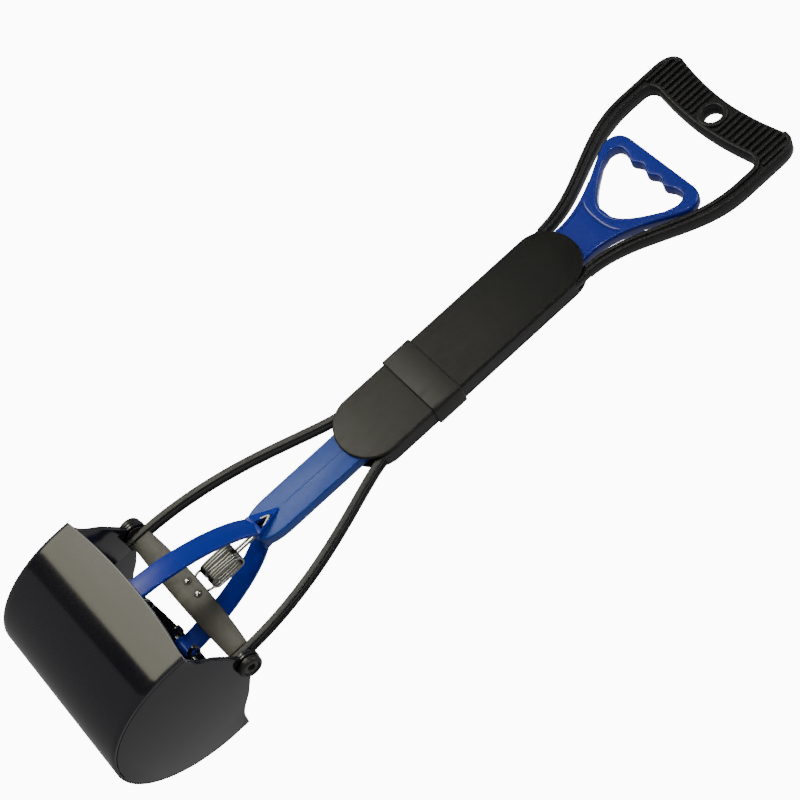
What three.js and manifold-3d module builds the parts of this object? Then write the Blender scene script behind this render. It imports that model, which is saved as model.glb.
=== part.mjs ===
// A folding jaw scooper: a ribbed grip, a blue pull handle and rod, a fold under a sliding collar,
// two curved legs, and two spring-closed scoop shells on one pair of pivot bolts.
// Millimetres. X is across the jaws, -Y is the front, Z runs up the handle.
// Heights are measured from the axis of the pivot bolts; the finished group is moved to its hang hole.
import * as THREE from "three";
import Module from "manifold-3d";
import { mergeVertices } from "three/addons/utils/BufferGeometryUtils.js";

const wasm = await Module();
wasm.setup();

// Shared clearances
const overrun = 2; // how far a cut runs past the face that it cuts
const seam = 0.3; // between pieces that lie against each other
const runGap = 0.4; // between pieces that slide

// Smoothness, in pieces per curve
const curveSteps = 10;
const roundSteps = 24;
const pinSteps = 14;

// Housing: the flat case round the rod, in two halves that meet at the fold
const foldHeight = 206;
const housingHalfWidth = 27.2;
const housingHalfDepth = 7.3;
const housingWall = 2.5;
const coverPlate = 2.5;
const coverEdge = 0.8;
const coverRound = 24;
const upperCoverStraight = 114;
const lowerCoverStraight = 45;
const upperBlockLength = 124;
const lowerBlockLength = 56;
const pocketInset = 6;
const pocketRib = 2;
const pocketsBetweenScrews = 3;

// Fold: its axis runs along X, just inside the rear face
const foldInset = 2.3;
const foldRange = 155; // degrees
const foldSpare = 1; // degrees left open at the end of the fold
const knuckleRadius = 2.2;
const foldPinRadius = 1.2;
const frameKnuckleInset = 8.3;
const frameKnuckleWidth = 3.4;
const rodKnuckleInset = 2.5;
const rodKnuckleCore = 5;
const rodRampHeight = 10;
const windowSpare = 1;
const stroke = 30;

// Collar over the fold
const collarBelowFold = 9.8;
const collarLength = 23.9;
const collarWall = 1.4;
const collarFaceGap = 0.5;
const collarRound = 2.5;
const collarEdge = 0.4;

// Rod, in two halves
const rodSideRoom = 12.7;
const rodHalfDepth = 4.4;

// Grip and its two rails
const gripSideInset = 6.5;
const gripHalfDepth = 6;
const gripRise = 287;
const gripSag = 6.5;
const gripShoulderInset = 12.5;
const gripCornerDrop = 16.5;
const barHeight = 28.5;
const openingSag = 4.5;
const railSideWidth = 9.1;
const openingShoulderInset = 8.4;
const openingCornerDrop = 9;
const railFootWidth = 4.2;
const openingFootRound = 6;
const sagShare = 0.45;
const railTopDrop = 20;
const railFootInset = 0.3;
const railRoot = 12;
const railKneeLowRise = 45;
const railKneeHighDrop = 45;
const railKneeShift = 1;
const railFootHalfDepth = 3.5;
const railThinRise = 15;
const railBulge = 1.2;
const railBulgeRise = 58;
const gripDepthDrop = 20;
const grooveDepth = 2.2;
const grooveHalfHeight = 1.9;
const hangRadius = 7;
const hangDrop = 20.2;
const ribSideRoom = 9.4;
const ribGroove = 2.6;
const ribDepth = 0.8;
const ribRim = 3;
const ribsEachSide = 9;
const ribStartShare = 0.7;

// Pull handle
const pullSideRoom = 9.4;
const pullRise = 80.5;
const pullHalfDepth = 5.6;
const pullCornerInset = 14;
const pullSideDrop = 13.5;
const pullKneeLowRise = 30;
const pullKneeHighDrop = 25.5;
const pullKneeShare = 0.945;
const bladeSideSpread = 2;
const bladeStartRise = 3;
const bladeTaper = 4;
const bladeLength = 12;
const bladeThinRise = 7;
const bladeBlend = 10;
const pullHoleRise = 28;
const pullHoleSideInset = 12.7;
const pullHoleSideDrop = 26.5;
const pullHoleWideInset = 9.5;
const pullHoleWideDrop = 18;
const pullHoleKneeShares = [0.42, 0.7, 0.49];
const fingerSideRoom = 9.75;
const fingerLobes = 3;
const fingerDrop = 11.4;
const fingerDepth = 1.5;
const fingerSteps = 12;
const panelSideRim = 3.5;
const panelFromRise = 4;
const panelToRise = 20;
const panelArch = 6;
const panelDepth = 0.8;

// Lower end of the rod, with the window that the spring hooks into
const rodEnd = 58;
const rodEndHalfWidth = 8;
const rodEndRound = 21;
const rodEndSwellShare = 0.2;
const hookWindowHeight = 15.5;
const hookWindowRise = 4.5;
const hookWindowHalfWidth = 5;

// Arms
const armHalfWidth = 8;
const armThickness = 3.5;
const armRootRise = 4;
const armRootLift = 1.8;
const armApexRise = 22;
const armApexHalfWidth = 0.6;
const armHeelDrop = 1;
const armGussetReach = 4.8;
const armFootY = 44.5;
const armFootZ = -26;
const armShoulderShares = [0.51, 0.88];
const armElbowShares = [0.94, 0.466];
const armEyeRadius = 3.4;
const armEyeHalfWidth = 8.8;
const armPinRadius = 1.5;
const armPinSpare = 1;

// Legs
const legThickness = 4.7;
const legHalfDepth = 3.5;
const legJawRoom = 8;
const legRoot = 2;
const legTopInset = 3.2;
const legKneeSpread = 5.6;
const legKneeLowShare = 0.48;
const legKneeHighShare = 0.82;
const legGrooveDepth = 1.2;
const legGrooveHalfHeight = 1.6;
const bossRadius = 9;
const bossThickness = 5.2;

// Pivot
const pivotRadius = 2.4;
const washerThickness = 0.8;
const washerRadius = 7;
const boltHeadRadius = 8.5;
const boltHeadLength = 4.7;
const boltDishRadius = 5.6;
const boltDishDepth = 1.2;
const boltSocketRadius = 3.2;
const boltSocketDepth = 3.4;
const boltSpare = 1.2;
const hexSides = 6;

// Jaw shells
const jawHalfWidth = 69;
const jawHalfDepth = 54;
const jawStraight = 36;
const jawRound = 70;
const jawWall = 2;
const jawSteps = 16;
const capWall = 1.8;
const jawTopMiddle = 20;
const jawTopSide = 25.5;
const lipGap = 0.5;
const capClearance = 0.5;
const capOverlap = 10;
const earRadius = 9;
const capShoulderShares = [0.72, 1];
const capNeckShares = [0.62, 0.66];
const capSlopeShares = [0.5, 0.48];
const lugGap = 0.4;
const lugThickness = 2;
const lugInner = 43.5;
const lugOuter = 52.7;
const lugSlotHalfWidth = 2.6;
const lugWall = 2.6;

// Steel strap between the legs
const strapThickness = 1.2;
const strapFront = 3.4;
const strapTopEnd = 8.8;
const strapTopMiddle = 11.8;
const strapBottomEnd = 6.3;
const strapBottomMiddle = 7.8;
const strapTabLength = 9;
const springHoleX = 6.4;
const springHoleZ = 5.5;

// Double torsion spring
const wireRadius = 0.8;
const coilHalfHeight = 12.4;
const coilHalfDepth = 4.6;
const coilFlankShare = 0.5;
const coilHeight = 29;
const coilPitch = 2.05;
const coilTurns = 3.5;
const coilMiddleShare = 0.6;
const curlSteps = 8;
const wireSides = 5;
const bendRadius = 1.6;
const bendSteps = 3;
const hookReach = 2;
const wirePoke = 1.7;

// Cover screws, put in from behind
const screwInset = 6.4;
const screwRadius = 1.2;
const screwHeadRadius = 2.6;
const screwHeadLength = 1.6;
const screwSocketRadius = 1.3;
const screwSocketDepth = 0.9;
const screwPostLength = 3;
const screwPostRadius = 2.9;
const screwTip = 1.4;
const screwBlock = 9;
const upperScrewLow = 32;
const upperScrewHigh = 104;
const lowerScrewDrop = 42;

// Finishes
const blackPlastic = { color: 0x2b2b28, roughness: 0.5, metalness: 0 };
const bluePlastic = { color: 0x002d91, roughness: 0.35, metalness: 0 };
const shellPlastic = { color: 0x26262b, roughness: 0.25, metalness: 0 };
const blackSteel = { color: 0x34332f, roughness: 0.4, metalness: 0.6 };
const brightSteel = { color: 0xb8b8b0, roughness: 0.3, metalness: 1 };

// Places worked out from the sizes above
const sides = [-1, 1];
const foldY = housingHalfDepth - foldInset;
const coverInner = coverPlate - housingHalfDepth;
const blockFront = coverInner + seam;
const upperEnd = foldHeight + seam / 2;
const lowerEnd = foldHeight - seam / 2;
const foldLean = THREE.MathUtils.degToRad((180 - foldRange) / 2 - foldSpare);
const rodHalfWidth = housingHalfWidth - rodSideRoom;
const rodKnuckleHalfWidth = rodHalfWidth - rodKnuckleInset;
const windowHalfWidth = rodKnuckleHalfWidth + windowSpare;
const frameKnuckleFrom = housingHalfWidth - frameKnuckleInset;
const frameKnuckleTo = frameKnuckleFrom + frameKnuckleWidth;
const channelDepth = rodHalfDepth + runGap;
const channelHalfWidth = rodHalfWidth + runGap;
const railFoot = foldHeight + upperBlockLength;
const gripHalfWidth = jawHalfWidth - gripSideInset;
const gripShoulderX = gripHalfWidth - gripShoulderInset;
const openingHalfWidth = gripHalfWidth - railSideWidth;
const openingShoulderX = openingHalfWidth - openingShoulderInset;
const ribPitch = (gripHalfWidth - hangRadius - ribSideRoom) / (ribsEachSide - 1 + ribStartShare);
const gripTop = foldHeight + gripRise;
const openingTop = gripTop - barHeight;
const openingFootHalfWidth = housingHalfWidth - railFootInset - railFootWidth;
const railTop = openingTop - railTopDrop;
const railKneeLow = railFoot + railKneeLowRise;
const railKneeHigh = railTop - railKneeHighDrop;
const railThinTop = railFoot + railThinRise;
const railBulgeHeight = railFoot + railBulgeRise;
const gripDepthHeight = railTop - gripDepthDrop;
const hangHeight = gripTop - hangDrop;
const bladeHalfWidth = rodHalfWidth + bladeSideSpread;
const bladeStart = railFoot + bladeStartRise;
const bladeTop = bladeStart + bladeLength;
const bladeEnd = bladeTop + bladeThinRise;
const pullHalfWidth = openingHalfWidth - pullSideRoom;
const pullCornerX = pullHalfWidth - pullCornerInset;
const pullHoleSideX = pullHalfWidth - pullHoleSideInset;
const pullHoleHalfWidth = pullHalfWidth - pullHoleWideInset;
const lastHollow = pullHoleHalfWidth - fingerSideRoom;
const fingerPitch = lastHollow / (fingerLobes / 2);
const pullTop = bladeTop + pullRise;
const pullSide = pullTop - pullSideDrop;
const pullKneeLow = bladeTop + pullKneeLowRise;
const pullKneeHigh = pullTop - pullKneeHighDrop;
const pullHoleBottom = bladeTop + pullHoleRise;
const pullHoleSide = pullTop - pullHoleSideDrop;
const pullHoleWide = pullTop - pullHoleWideDrop;
const fingerHeight = pullTop - fingerDrop;
const panelHalfWidth = bladeHalfWidth - panelSideRim;
const panelFrom = bladeStart + panelFromRise;
const panelTo = bladeTop + panelToRise;
const hookWindowBottom = rodEnd + hookWindowRise;
const hookWindowTop = hookWindowBottom + hookWindowHeight;
const armRootZ = rodEnd + armRootRise;
const armApex = rodEnd + armApexRise;
const armHeel = rodEnd - armHeelDrop;
const legX = jawHalfWidth - legJawRoom;
const legTop = foldHeight - lowerBlockLength + legRoot;
const legTopX = housingHalfWidth - legTopInset;
const legKneeLow = legTop * legKneeLowShare;
const legKneeHigh = legTop * legKneeHighShare;
const screwX = housingHalfWidth - screwInset;
const bossInner = legX - bossThickness / 2;
const bossOuter = bossInner + bossThickness;
const strapHalfLength = bossInner - seam;
const rearCapFrom = jawHalfWidth - capWall;
const frontCapTo = rearCapFrom - seam;
const frontCapFrom = frontCapTo - capWall;
const washerFrom = (bossOuter + frontCapFrom - washerThickness) / 2;
const lugFrom = armEyeHalfWidth + lugGap;
const lugTo = lugFrom + lugThickness;
const upperScrews = [foldHeight + upperScrewLow, foldHeight + upperScrewHigh];
const lowerScrews = [foldHeight - lowerScrewDrop];
const wireGapHalf = coilPitch * coilMiddleShare;
const coilStackHalf = wireGapHalf + coilTurns * coilPitch;
const coilFlank = coilHalfHeight - coilHalfDepth;

const group = new THREE.Group();

// Turns a three.js geometry into a solid that can be cut and joined.
function solidFrom(geometry) {
  const bare = geometry.index ? geometry.toNonIndexed() : geometry.clone();
  bare.deleteAttribute("normal");
  bare.deleteAttribute("uv");
  const merged = mergeVertices(bare);
  const vertProperties = merged.attributes.position.array;
  const triVerts = new Uint32Array(merged.index.array);
  return new wasm.Manifold(new wasm.Mesh({ numProp: 3, vertProperties, triVerts }));
}

// Adds a finished solid to the group as a named mesh.
function place(name, solid, finish) {
  const { vertProperties, triVerts, numProp } = solid.getMesh();
  const geometry = new THREE.BufferGeometry();
  geometry.setAttribute("position", new THREE.BufferAttribute(vertProperties, numProp));
  geometry.setIndex(new THREE.BufferAttribute(triVerts, 1));
  geometry.computeVertexNormals();
  const mesh = new THREE.Mesh(geometry, new THREE.MeshStandardMaterial(finish));
  mesh.name = name;
  group.add(mesh);
}

function extruded(shape, depth, edge) {
  return new THREE.ExtrudeGeometry(shape, {
    depth,
    bevelEnabled: edge > 0,
    bevelSize: edge,
    bevelThickness: edge,
    bevelOffset: -edge,
    bevelSegments: 1,
    curveSegments: curveSteps,
  });
}

// A solid whose outline lies in X and Z.
function alongY(shape, front, rear) {
  const geometry = extruded(shape, rear - front, 0);
  geometry.rotateX(Math.PI / 2);
  geometry.translate(0, rear, 0);
  return solidFrom(geometry);
}

// A solid whose outline lies in Y and Z.
function alongX(shape, xFrom, xTo) {
  const geometry = extruded(shape, xTo - xFrom, 0);
  const axes = [new THREE.Vector3(0, 1, 0), new THREE.Vector3(0, 0, 1), new THREE.Vector3(1, 0, 0)];
  geometry.applyMatrix4(new THREE.Matrix4().makeBasis(...axes));
  geometry.translate(xFrom, 0, 0);
  return solidFrom(geometry);
}

function block(xFrom, xTo, yFrom, yTo, zFrom, zTo) {
  const geometry = new THREE.BoxGeometry(xTo - xFrom, yTo - yFrom, zTo - zFrom);
  geometry.translate((xFrom + xTo) / 2, (yFrom + yTo) / 2, (zFrom + zTo) / 2);
  return solidFrom(geometry);
}

function roundX(y, z, radius, xFrom, xTo, steps = pinSteps) {
  const geometry = new THREE.CylinderGeometry(radius, radius, xTo - xFrom, steps);
  geometry.rotateZ(Math.PI / 2);
  geometry.translate((xFrom + xTo) / 2, y, z);
  return solidFrom(geometry);
}

function roundY(x, z, radius, yFrom, yTo, steps = pinSteps) {
  const geometry = new THREE.CylinderGeometry(radius, radius, yTo - yFrom, steps);
  geometry.translate(x, (yFrom + yTo) / 2, z);
  return solidFrom(geometry);
}

// A stretch of X on the right or the left of the middle, lowest end first.
function span(side, from, to) {
  return side > 0 ? [from, to] : [-to, -from];
}

// A closed outline from its right-hand half, given from the middle round to the middle.
function mirroredShape(halfPoints) {
  const left = halfPoints.filter((p) => p.x > 0).map((p) => new THREE.Vector2(-p.x, p.y));
  return new THREE.Shape([...halfPoints, ...left.reverse()]);
}

// The strip between two distances from a curve, with its first coordinate turned to one side.
function stripShape(curve, nearOffset, farOffset, side) {
  const edge = (offset) =>
    curve.getPoints(curveSteps).map((point, i) => {
      const direction = curve.getTangent(i / curveSteps);
      return new THREE.Vector2(side * (point.x - direction.y * offset), point.y + direction.x * offset);
    });
  return new THREE.Shape([...edge(nearOffset), ...edge(farOffset).reverse()]);
}

// Front outline of a housing half: straight from the fold, then half an ellipse.
function coverShape(end, way, straight) {
  const shape = new THREE.Shape();
  shape.moveTo(-housingHalfWidth, end);
  shape.lineTo(housingHalfWidth, end);
  const roundFrom = foldHeight + way * straight;
  shape.absellipse(0, roundFrom, housingHalfWidth, coverRound, 0, way * Math.PI, way < 0);
  return shape;
}

function coverSolid(end, way, straight, screws) {
  const geometry = extruded(coverShape(end, way, straight), coverPlate - coverEdge, coverEdge);
  geometry.rotateX(Math.PI / 2);
  geometry.translate(0, coverInner, 0);
  const top = foldHeight + upperCoverStraight + coverRound + overrun;
  const wide = housingHalfWidth + overrun;
  let cover = solidFrom(geometry).subtract(
    block(-wide, wide, coverInner, coverInner + overrun, -top, top),
  );
  const pilotEnd = screwTip - housingHalfDepth;
  for (const side of sides) {
    for (const z of screws) {
      const x = side * screwX;
      cover = cover
        .add(roundY(x, z, screwPostRadius, coverInner - seam, coverInner + screwPostLength))
        .subtract(roundY(x, z, screwRadius + seam, pilotEnd, coverInner + screwPostLength + overrun));
    }
  }
  return cover;
}

// What the screws need in a housing block: socket for the cover's post, shank hole and head seat.
function screwSeats(screws) {
  const cuts = [];
  const postEnd = coverInner + screwPostLength + seam;
  const headSeat = housingHalfDepth - screwHeadLength - 2 * seam;
  const rear = housingHalfDepth + overrun;
  for (const side of sides) {
    for (const z of screws) {
      const x = side * screwX;
      cuts.push(roundY(x, z, screwPostRadius + seam, blockFront - overrun, postEnd));
      cuts.push(roundY(x, z, screwRadius + seam, coverInner, rear));
      cuts.push(roundY(x, z, screwHeadRadius + seam, headSeat, rear));
    }
  }
  return cuts;
}

// Hollows under a cover, on both sides of the rod's channel, with ribs between them.
function pockets(zFrom, zTo, count) {
  const cuts = [];
  const length = (zTo - zFrom - (count - 1) * pocketRib) / count;
  const inner = channelHalfWidth + housingWall;
  const outer = housingHalfWidth - housingWall;
  for (const side of sides) {
    for (let i = 0; i < count; i++) {
      const [left, right] = span(side, inner, outer);
      const z = zFrom + i * (length + pocketRib);
      cuts.push(block(left, right, blockFront - overrun, channelDepth, z, z + length));
    }
  }
  return cuts;
}

// The rear faces lean away from the fold's axis, so that the halves can swing back to back.
function foldChamfer(way) {
  const reach = foldInset + overrun;
  const wedge = new THREE.Shape();
  wedge.moveTo(foldY, foldHeight);
  wedge.lineTo(foldY + reach, foldHeight + (way * reach) / Math.tan(foldLean));
  wedge.lineTo(foldY + reach, foldHeight - way * overrun);
  const wide = housingHalfWidth + overrun;
  return alongX(wedge, -wide, wide);
}

// Cuts one half's knuckle spaces and adds its own knuckles, then bores them for the pins.
function hinged(body, ownRanges, otherRanges) {
  let result = body;
  for (const side of sides) {
    for (const [from, to] of otherRanges) {
      result = result.subtract(roundX(foldY, foldHeight, knuckleRadius + seam, ...span(side, from, to)));
    }
    for (const [from, to] of ownRanges) {
      result = result.add(roundX(foldY, foldHeight, knuckleRadius, ...span(side, from, to)));
    }
  }
  return result;
}

function pinBore(solid, xFrom, xTo) {
  let result = solid;
  for (const side of sides) {
    result = result.subtract(
      roundX(foldY, foldHeight, foldPinRadius + seam, ...span(side, xFrom, xTo)),
    );
  }
  return result;
}

function cutAll(solid, cuts) {
  return cuts.reduce((result, cut) => result.subtract(cut), solid);
}

function gripOutline() {
  const half = new THREE.Path();
  const footX = housingHalfWidth - railFootInset;
  half.moveTo(0, railFoot - railRoot);
  half.lineTo(footX, railFoot - railRoot);
  half.lineTo(footX, railFoot);
  half.bezierCurveTo(footX, railKneeLow, gripHalfWidth, railKneeHigh, gripHalfWidth, railTop);
  half.lineTo(gripHalfWidth, gripTop - gripCornerDrop);
  half.quadraticCurveTo(gripHalfWidth, gripTop, gripShoulderX, gripTop);
  half.quadraticCurveTo(gripShoulderX * sagShare, gripTop - gripSag, 0, gripTop - gripSag);
  return mirroredShape(half.getPoints(curveSteps));
}

function openingOutline(grow) {
  const half = new THREE.Path();
  const footX = openingFootHalfWidth + grow;
  const wideX = openingHalfWidth + grow;
  half.moveTo(0, railFoot);
  half.lineTo(footX - openingFootRound, railFoot);
  half.quadraticCurveTo(footX, railFoot, footX, railFoot + openingFootRound);
  const low = railKneeLow + railKneeShift;
  const high = railKneeHigh + railKneeShift;
  half.bezierCurveTo(footX, low, wideX, high, wideX, railTop);
  half.lineTo(wideX, openingTop - openingCornerDrop);
  half.quadraticCurveTo(wideX, openingTop, openingShoulderX, openingTop);
  const sagTop = openingTop - openingSag;
  half.quadraticCurveTo(openingShoulderX * sagShare, sagTop, 0, sagTop);
  return mirroredShape(half.getPoints(curveSteps));
}

// Side outline of the grip: thin rails that swell to the full depth of the bar.
function gripSide() {
  const half = new THREE.Path();
  const top = gripTop + overrun;
  half.moveTo(0, railFoot - railRoot);
  half.lineTo(railFootHalfDepth, railFoot - railRoot);
  half.lineTo(railFootHalfDepth, railThinTop);
  const bulge = railFootHalfDepth + railBulge;
  half.quadraticCurveTo(bulge, railBulgeHeight, gripHalfDepth, gripDepthHeight);
  half.lineTo(gripHalfDepth, top);
  half.lineTo(0, top);
  return mirroredShape(half.getPoints(curveSteps));
}

function gripSolid() {
  const wide = gripHalfWidth + overrun;
  let grip = alongY(gripOutline(), -gripHalfDepth, gripHalfDepth)
    .subtract(alongY(openingOutline(0), -gripHalfDepth - overrun, gripHalfDepth + overrun))
    .intersect(alongX(gripSide(), -wide, wide));
  const groove = alongY(openingOutline(grooveDepth), -grooveHalfHeight, grooveHalfHeight);
  grip = grip.subtract(
    groove.intersect(block(-wide, wide, -gripHalfDepth, gripHalfDepth, railThinTop, railTop)),
  );
  return cutAll(grip, ribGrooves()).subtract(
    roundY(0, hangHeight, hangRadius, -gripHalfDepth - overrun, gripHalfDepth + overrun, roundSteps),
  );
}

// Grooves that leave the ribs standing on the front of the bar, above a rim along the opening.
function ribGrooves() {
  const cuts = [];
  const front = -gripHalfDepth - overrun;
  for (const side of sides) {
    for (let i = 0; i < ribsEachSide; i++) {
      const x = hangRadius + ribPitch * (i + ribStartShare);
      const bend = Math.min(1, x / openingShoulderX) ** 2;
      const bottom = openingTop - openingSag * (1 - bend) + ribRim;
      const [left, right] = span(side, x - ribGroove / 2, x + ribGroove / 2);
      cuts.push(block(left, right, front, ribDepth - gripHalfDepth, bottom, gripTop + overrun));
    }
  }
  return cuts;
}

// The rod's channel, open at the front and closed by the cover.
function channel(zFrom, zTo, halfWidth) {
  return block(-halfWidth, halfWidth, -housingHalfDepth - overrun, channelDepth, zFrom, zTo);
}

// Room in the rear wall for the rod's knuckles.
function knuckleWindow(zFrom, zTo) {
  const rear = housingHalfDepth + overrun;
  return block(-windowHalfWidth, windowHalfWidth, rodHalfDepth, rear, zFrom, zTo);
}

function upperFrame() {
  const wide = housingHalfWidth;
  const top = foldHeight + upperCoverStraight + coverRound + overrun;
  const windowTop = foldHeight + stroke + rodRampHeight + runGap;
  let body = block(-wide, wide, blockFront, channelDepth, upperEnd, railFoot)
    .add(alongY(coverShape(upperEnd, 1, upperCoverStraight), rodHalfDepth, housingHalfDepth))
    .add(gripSolid());
  const [low, high] = upperScrews;
  body = cutAll(body, [
    channel(foldHeight - overrun, top, channelHalfWidth),
    channel(bladeStart - bladeTaper - runGap, top, bladeHalfWidth + runGap),
    knuckleWindow(foldHeight - overrun, windowTop),
    foldChamfer(1),
    ...pockets(foldHeight + pocketInset, low - screwBlock / 2, 1),
    ...pockets(low + screwBlock / 2, high - screwBlock / 2, pocketsBetweenScrews),
    ...screwSeats(upperScrews),
  ]);
  const own = [
    [channelHalfWidth, frameKnuckleFrom - seam],
    [frameKnuckleTo + seam, housingHalfWidth],
  ];
  const other = [[frameKnuckleFrom - seam, frameKnuckleTo + seam]];
  return pinBore(hinged(body, own, other), windowHalfWidth, housingHalfWidth + overrun);
}

function legCurve() {
  return new THREE.CubicBezierCurve(
    new THREE.Vector2(legTopX, legTop),
    new THREE.Vector2(legTopX + legKneeSpread, legKneeHigh),
    new THREE.Vector2(legX, legKneeLow),
    new THREE.Vector2(legX, 0),
  );
}

function leg(side) {
  const half = legThickness / 2;
  const strip = alongY(stripShape(legCurve(), -half, half, side), -legHalfDepth, legHalfDepth);
  const groove = alongY(
    stripShape(legCurve(), -half - overrun, legGrooveDepth - half, side),
    -legGrooveHalfHeight,
    legGrooveHalfHeight,
  );
  const wide = legX + bossRadius;
  const grooveEnd = foldHeight - lowerBlockLength;
  const kept = block(-wide, wide, -legHalfDepth, legHalfDepth, bossRadius, grooveEnd);
  return strip
    .subtract(groove.intersect(kept))
    .add(roundX(0, 0, bossRadius, ...span(side, bossInner, bossOuter), roundSteps))
    .subtract(roundX(0, 0, pivotRadius + seam, ...span(side, bossInner - overrun, bossOuter + overrun)));
}

function lowerFrame() {
  const wide = housingHalfWidth;
  const blockBottom = foldHeight - lowerBlockLength;
  const bottom = foldHeight - lowerCoverStraight - coverRound - overrun;
  const windowBottom = foldHeight - rodRampHeight - runGap;
  const [screw] = lowerScrews;
  let body = block(-wide, wide, blockFront, channelDepth, blockBottom, lowerEnd)
    .add(alongY(coverShape(lowerEnd, -1, lowerCoverStraight), rodHalfDepth, housingHalfDepth))
    .add(leg(-1))
    .add(leg(1));
  body = cutAll(body, [
    channel(bottom, foldHeight + overrun, channelHalfWidth),
    knuckleWindow(windowBottom, foldHeight + overrun),
    foldChamfer(-1),
    ...pockets(screw + screwBlock / 2, foldHeight - pocketInset, 1),
    ...screwSeats(lowerScrews),
  ]);
  const own = [[frameKnuckleFrom, frameKnuckleTo]];
  const other = [
    [windowHalfWidth, frameKnuckleFrom],
    [frameKnuckleTo, housingHalfWidth + overrun],
  ];
  return pinBore(hinged(body, own, other), windowHalfWidth, housingHalfWidth + overrun);
}

function collar() {
  const halfX = housingHalfWidth + seam + collarWall;
  const halfY = housingHalfDepth + collarFaceGap + collarWall;
  const innerX = halfX - collarWall;
  const innerY = halfY - collarWall;
  const shape = new THREE.Shape();
  shape.moveTo(collarRound - halfX, -halfY);
  shape.lineTo(halfX - collarRound, -halfY);
  shape.quadraticCurveTo(halfX, -halfY, halfX, collarRound - halfY);
  shape.lineTo(halfX, halfY - collarRound);
  shape.quadraticCurveTo(halfX, halfY, halfX - collarRound, halfY);
  shape.lineTo(collarRound - halfX, halfY);
  shape.quadraticCurveTo(-halfX, halfY, -halfX, halfY - collarRound);
  shape.lineTo(-halfX, collarRound - halfY);
  shape.quadraticCurveTo(-halfX, -halfY, collarRound - halfX, -halfY);
  const geometry = extruded(shape, collarLength - 2 * collarEdge, collarEdge);
  const bottom = foldHeight - collarBelowFold;
  geometry.translate(0, 0, bottom + collarEdge);
  const top = bottom + collarLength + overrun;
  return solidFrom(geometry).subtract(
    block(-innerX, innerX, -innerY, innerY, bottom - overrun, top),
  );
}

function pullOutline() {
  const half = new THREE.Path();
  half.moveTo(0, upperEnd);
  half.lineTo(rodHalfWidth, upperEnd);
  half.lineTo(rodHalfWidth, bladeStart - bladeTaper);
  half.lineTo(bladeHalfWidth, bladeStart);
  half.lineTo(bladeHalfWidth, bladeTop);
  const knee = pullHalfWidth * pullKneeShare;
  half.bezierCurveTo(bladeHalfWidth, pullKneeLow, knee, pullKneeHigh, pullHalfWidth, pullSide);
  half.quadraticCurveTo(pullHalfWidth, pullTop, pullCornerX, pullTop);
  half.lineTo(0, pullTop);
  return mirroredShape(half.getPoints(curveSteps));
}

// The opening for the fingers, with three lobes along its top.
function pullOpening() {
  const half = new THREE.Path();
  const [nearShare, farShare, riseShare] = pullHoleKneeShares;
  const rise = pullHoleBottom + (pullHoleSide - pullHoleBottom) * riseShare;
  const near = pullHoleSideX * nearShare;
  const far = pullHoleSideX * farShare;
  half.moveTo(0, pullHoleBottom);
  half.bezierCurveTo(near, pullHoleBottom, far, rise, pullHoleSideX, pullHoleSide);
  half.lineTo(pullHoleHalfWidth, pullHoleWide);
  const hollow = fingerHeight + fingerDepth;
  half.quadraticCurveTo(pullHoleHalfWidth, hollow + fingerDepth, lastHollow, hollow);
  for (let i = fingerSteps - 1; i >= 0; i--) {
    const x = (lastHollow * i) / fingerSteps;
    half.lineTo(x, fingerHeight - fingerDepth * Math.cos((2 * Math.PI * x) / fingerPitch));
  }
  return mirroredShape(half.getPoints(curveSteps));
}

function pullSideOutline() {
  const half = new THREE.Path();
  half.moveTo(0, foldHeight - overrun);
  half.lineTo(rodHalfDepth, foldHeight - overrun);
  half.lineTo(rodHalfDepth, bladeEnd);
  half.lineTo(pullHalfDepth, bladeEnd + bladeBlend);
  half.lineTo(pullHalfDepth, pullTop + overrun);
  half.lineTo(0, pullTop + overrun);
  return mirroredShape(half.getPoints(curveSteps));
}

function panelOutline() {
  const half = new THREE.Path();
  half.moveTo(0, panelFrom);
  half.lineTo(panelHalfWidth, panelFrom);
  half.lineTo(panelHalfWidth, panelTo);
  half.quadraticCurveTo(panelHalfWidth, panelTo + panelArch, 0, panelTo + panelArch);
  return mirroredShape(half.getPoints(curveSteps));
}

// A ramp that carries the rod's knuckles on its rear face, within the lean of the fold.
function rodRamp(way, xFrom, xTo) {
  const ramp = new THREE.Shape();
  const half = rodRampHeight / 2;
  const inside = rodHalfDepth - runGap;
  ramp.moveTo(inside, foldHeight + (way * seam) / 2);
  ramp.lineTo(foldY, foldHeight + (way * seam) / 2);
  ramp.lineTo(foldY + (half - seam) * Math.tan(foldLean), foldHeight + way * half);
  ramp.lineTo(inside, foldHeight + way * rodRampHeight);
  return alongX(ramp, xFrom, xTo);
}

function pullHandle() {
  const wide = pullHalfWidth + overrun;
  const deep = pullHalfDepth + overrun;
  let body = alongY(pullOutline(), -pullHalfDepth, pullHalfDepth)
    .subtract(alongY(pullOpening(), -deep, deep))
    .intersect(alongX(pullSideOutline(), -wide, wide))
    .subtract(alongY(panelOutline(), -deep, panelDepth - rodHalfDepth));
  const own = [rodKnuckleCore + seam, rodKnuckleHalfWidth];
  for (const side of sides) body = body.add(rodRamp(1, ...span(side, ...own)));
  body = hinged(body, [own], [[0, rodKnuckleCore + seam]]);
  return pinBore(body, 0, rodKnuckleHalfWidth + overrun);
}

function lowerRodOutline() {
  const half = new THREE.Path();
  half.moveTo(0, lowerEnd);
  half.lineTo(rodHalfWidth, lowerEnd);
  half.lineTo(rodHalfWidth, rodEnd + rodEndRound);
  const swell = rodEnd + rodEndRound * rodEndSwellShare;
  half.quadraticCurveTo(rodHalfWidth, swell, rodEndHalfWidth, rodEnd);
  half.lineTo(0, rodEnd);
  return mirroredShape(half.getPoints(curveSteps));
}

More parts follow.
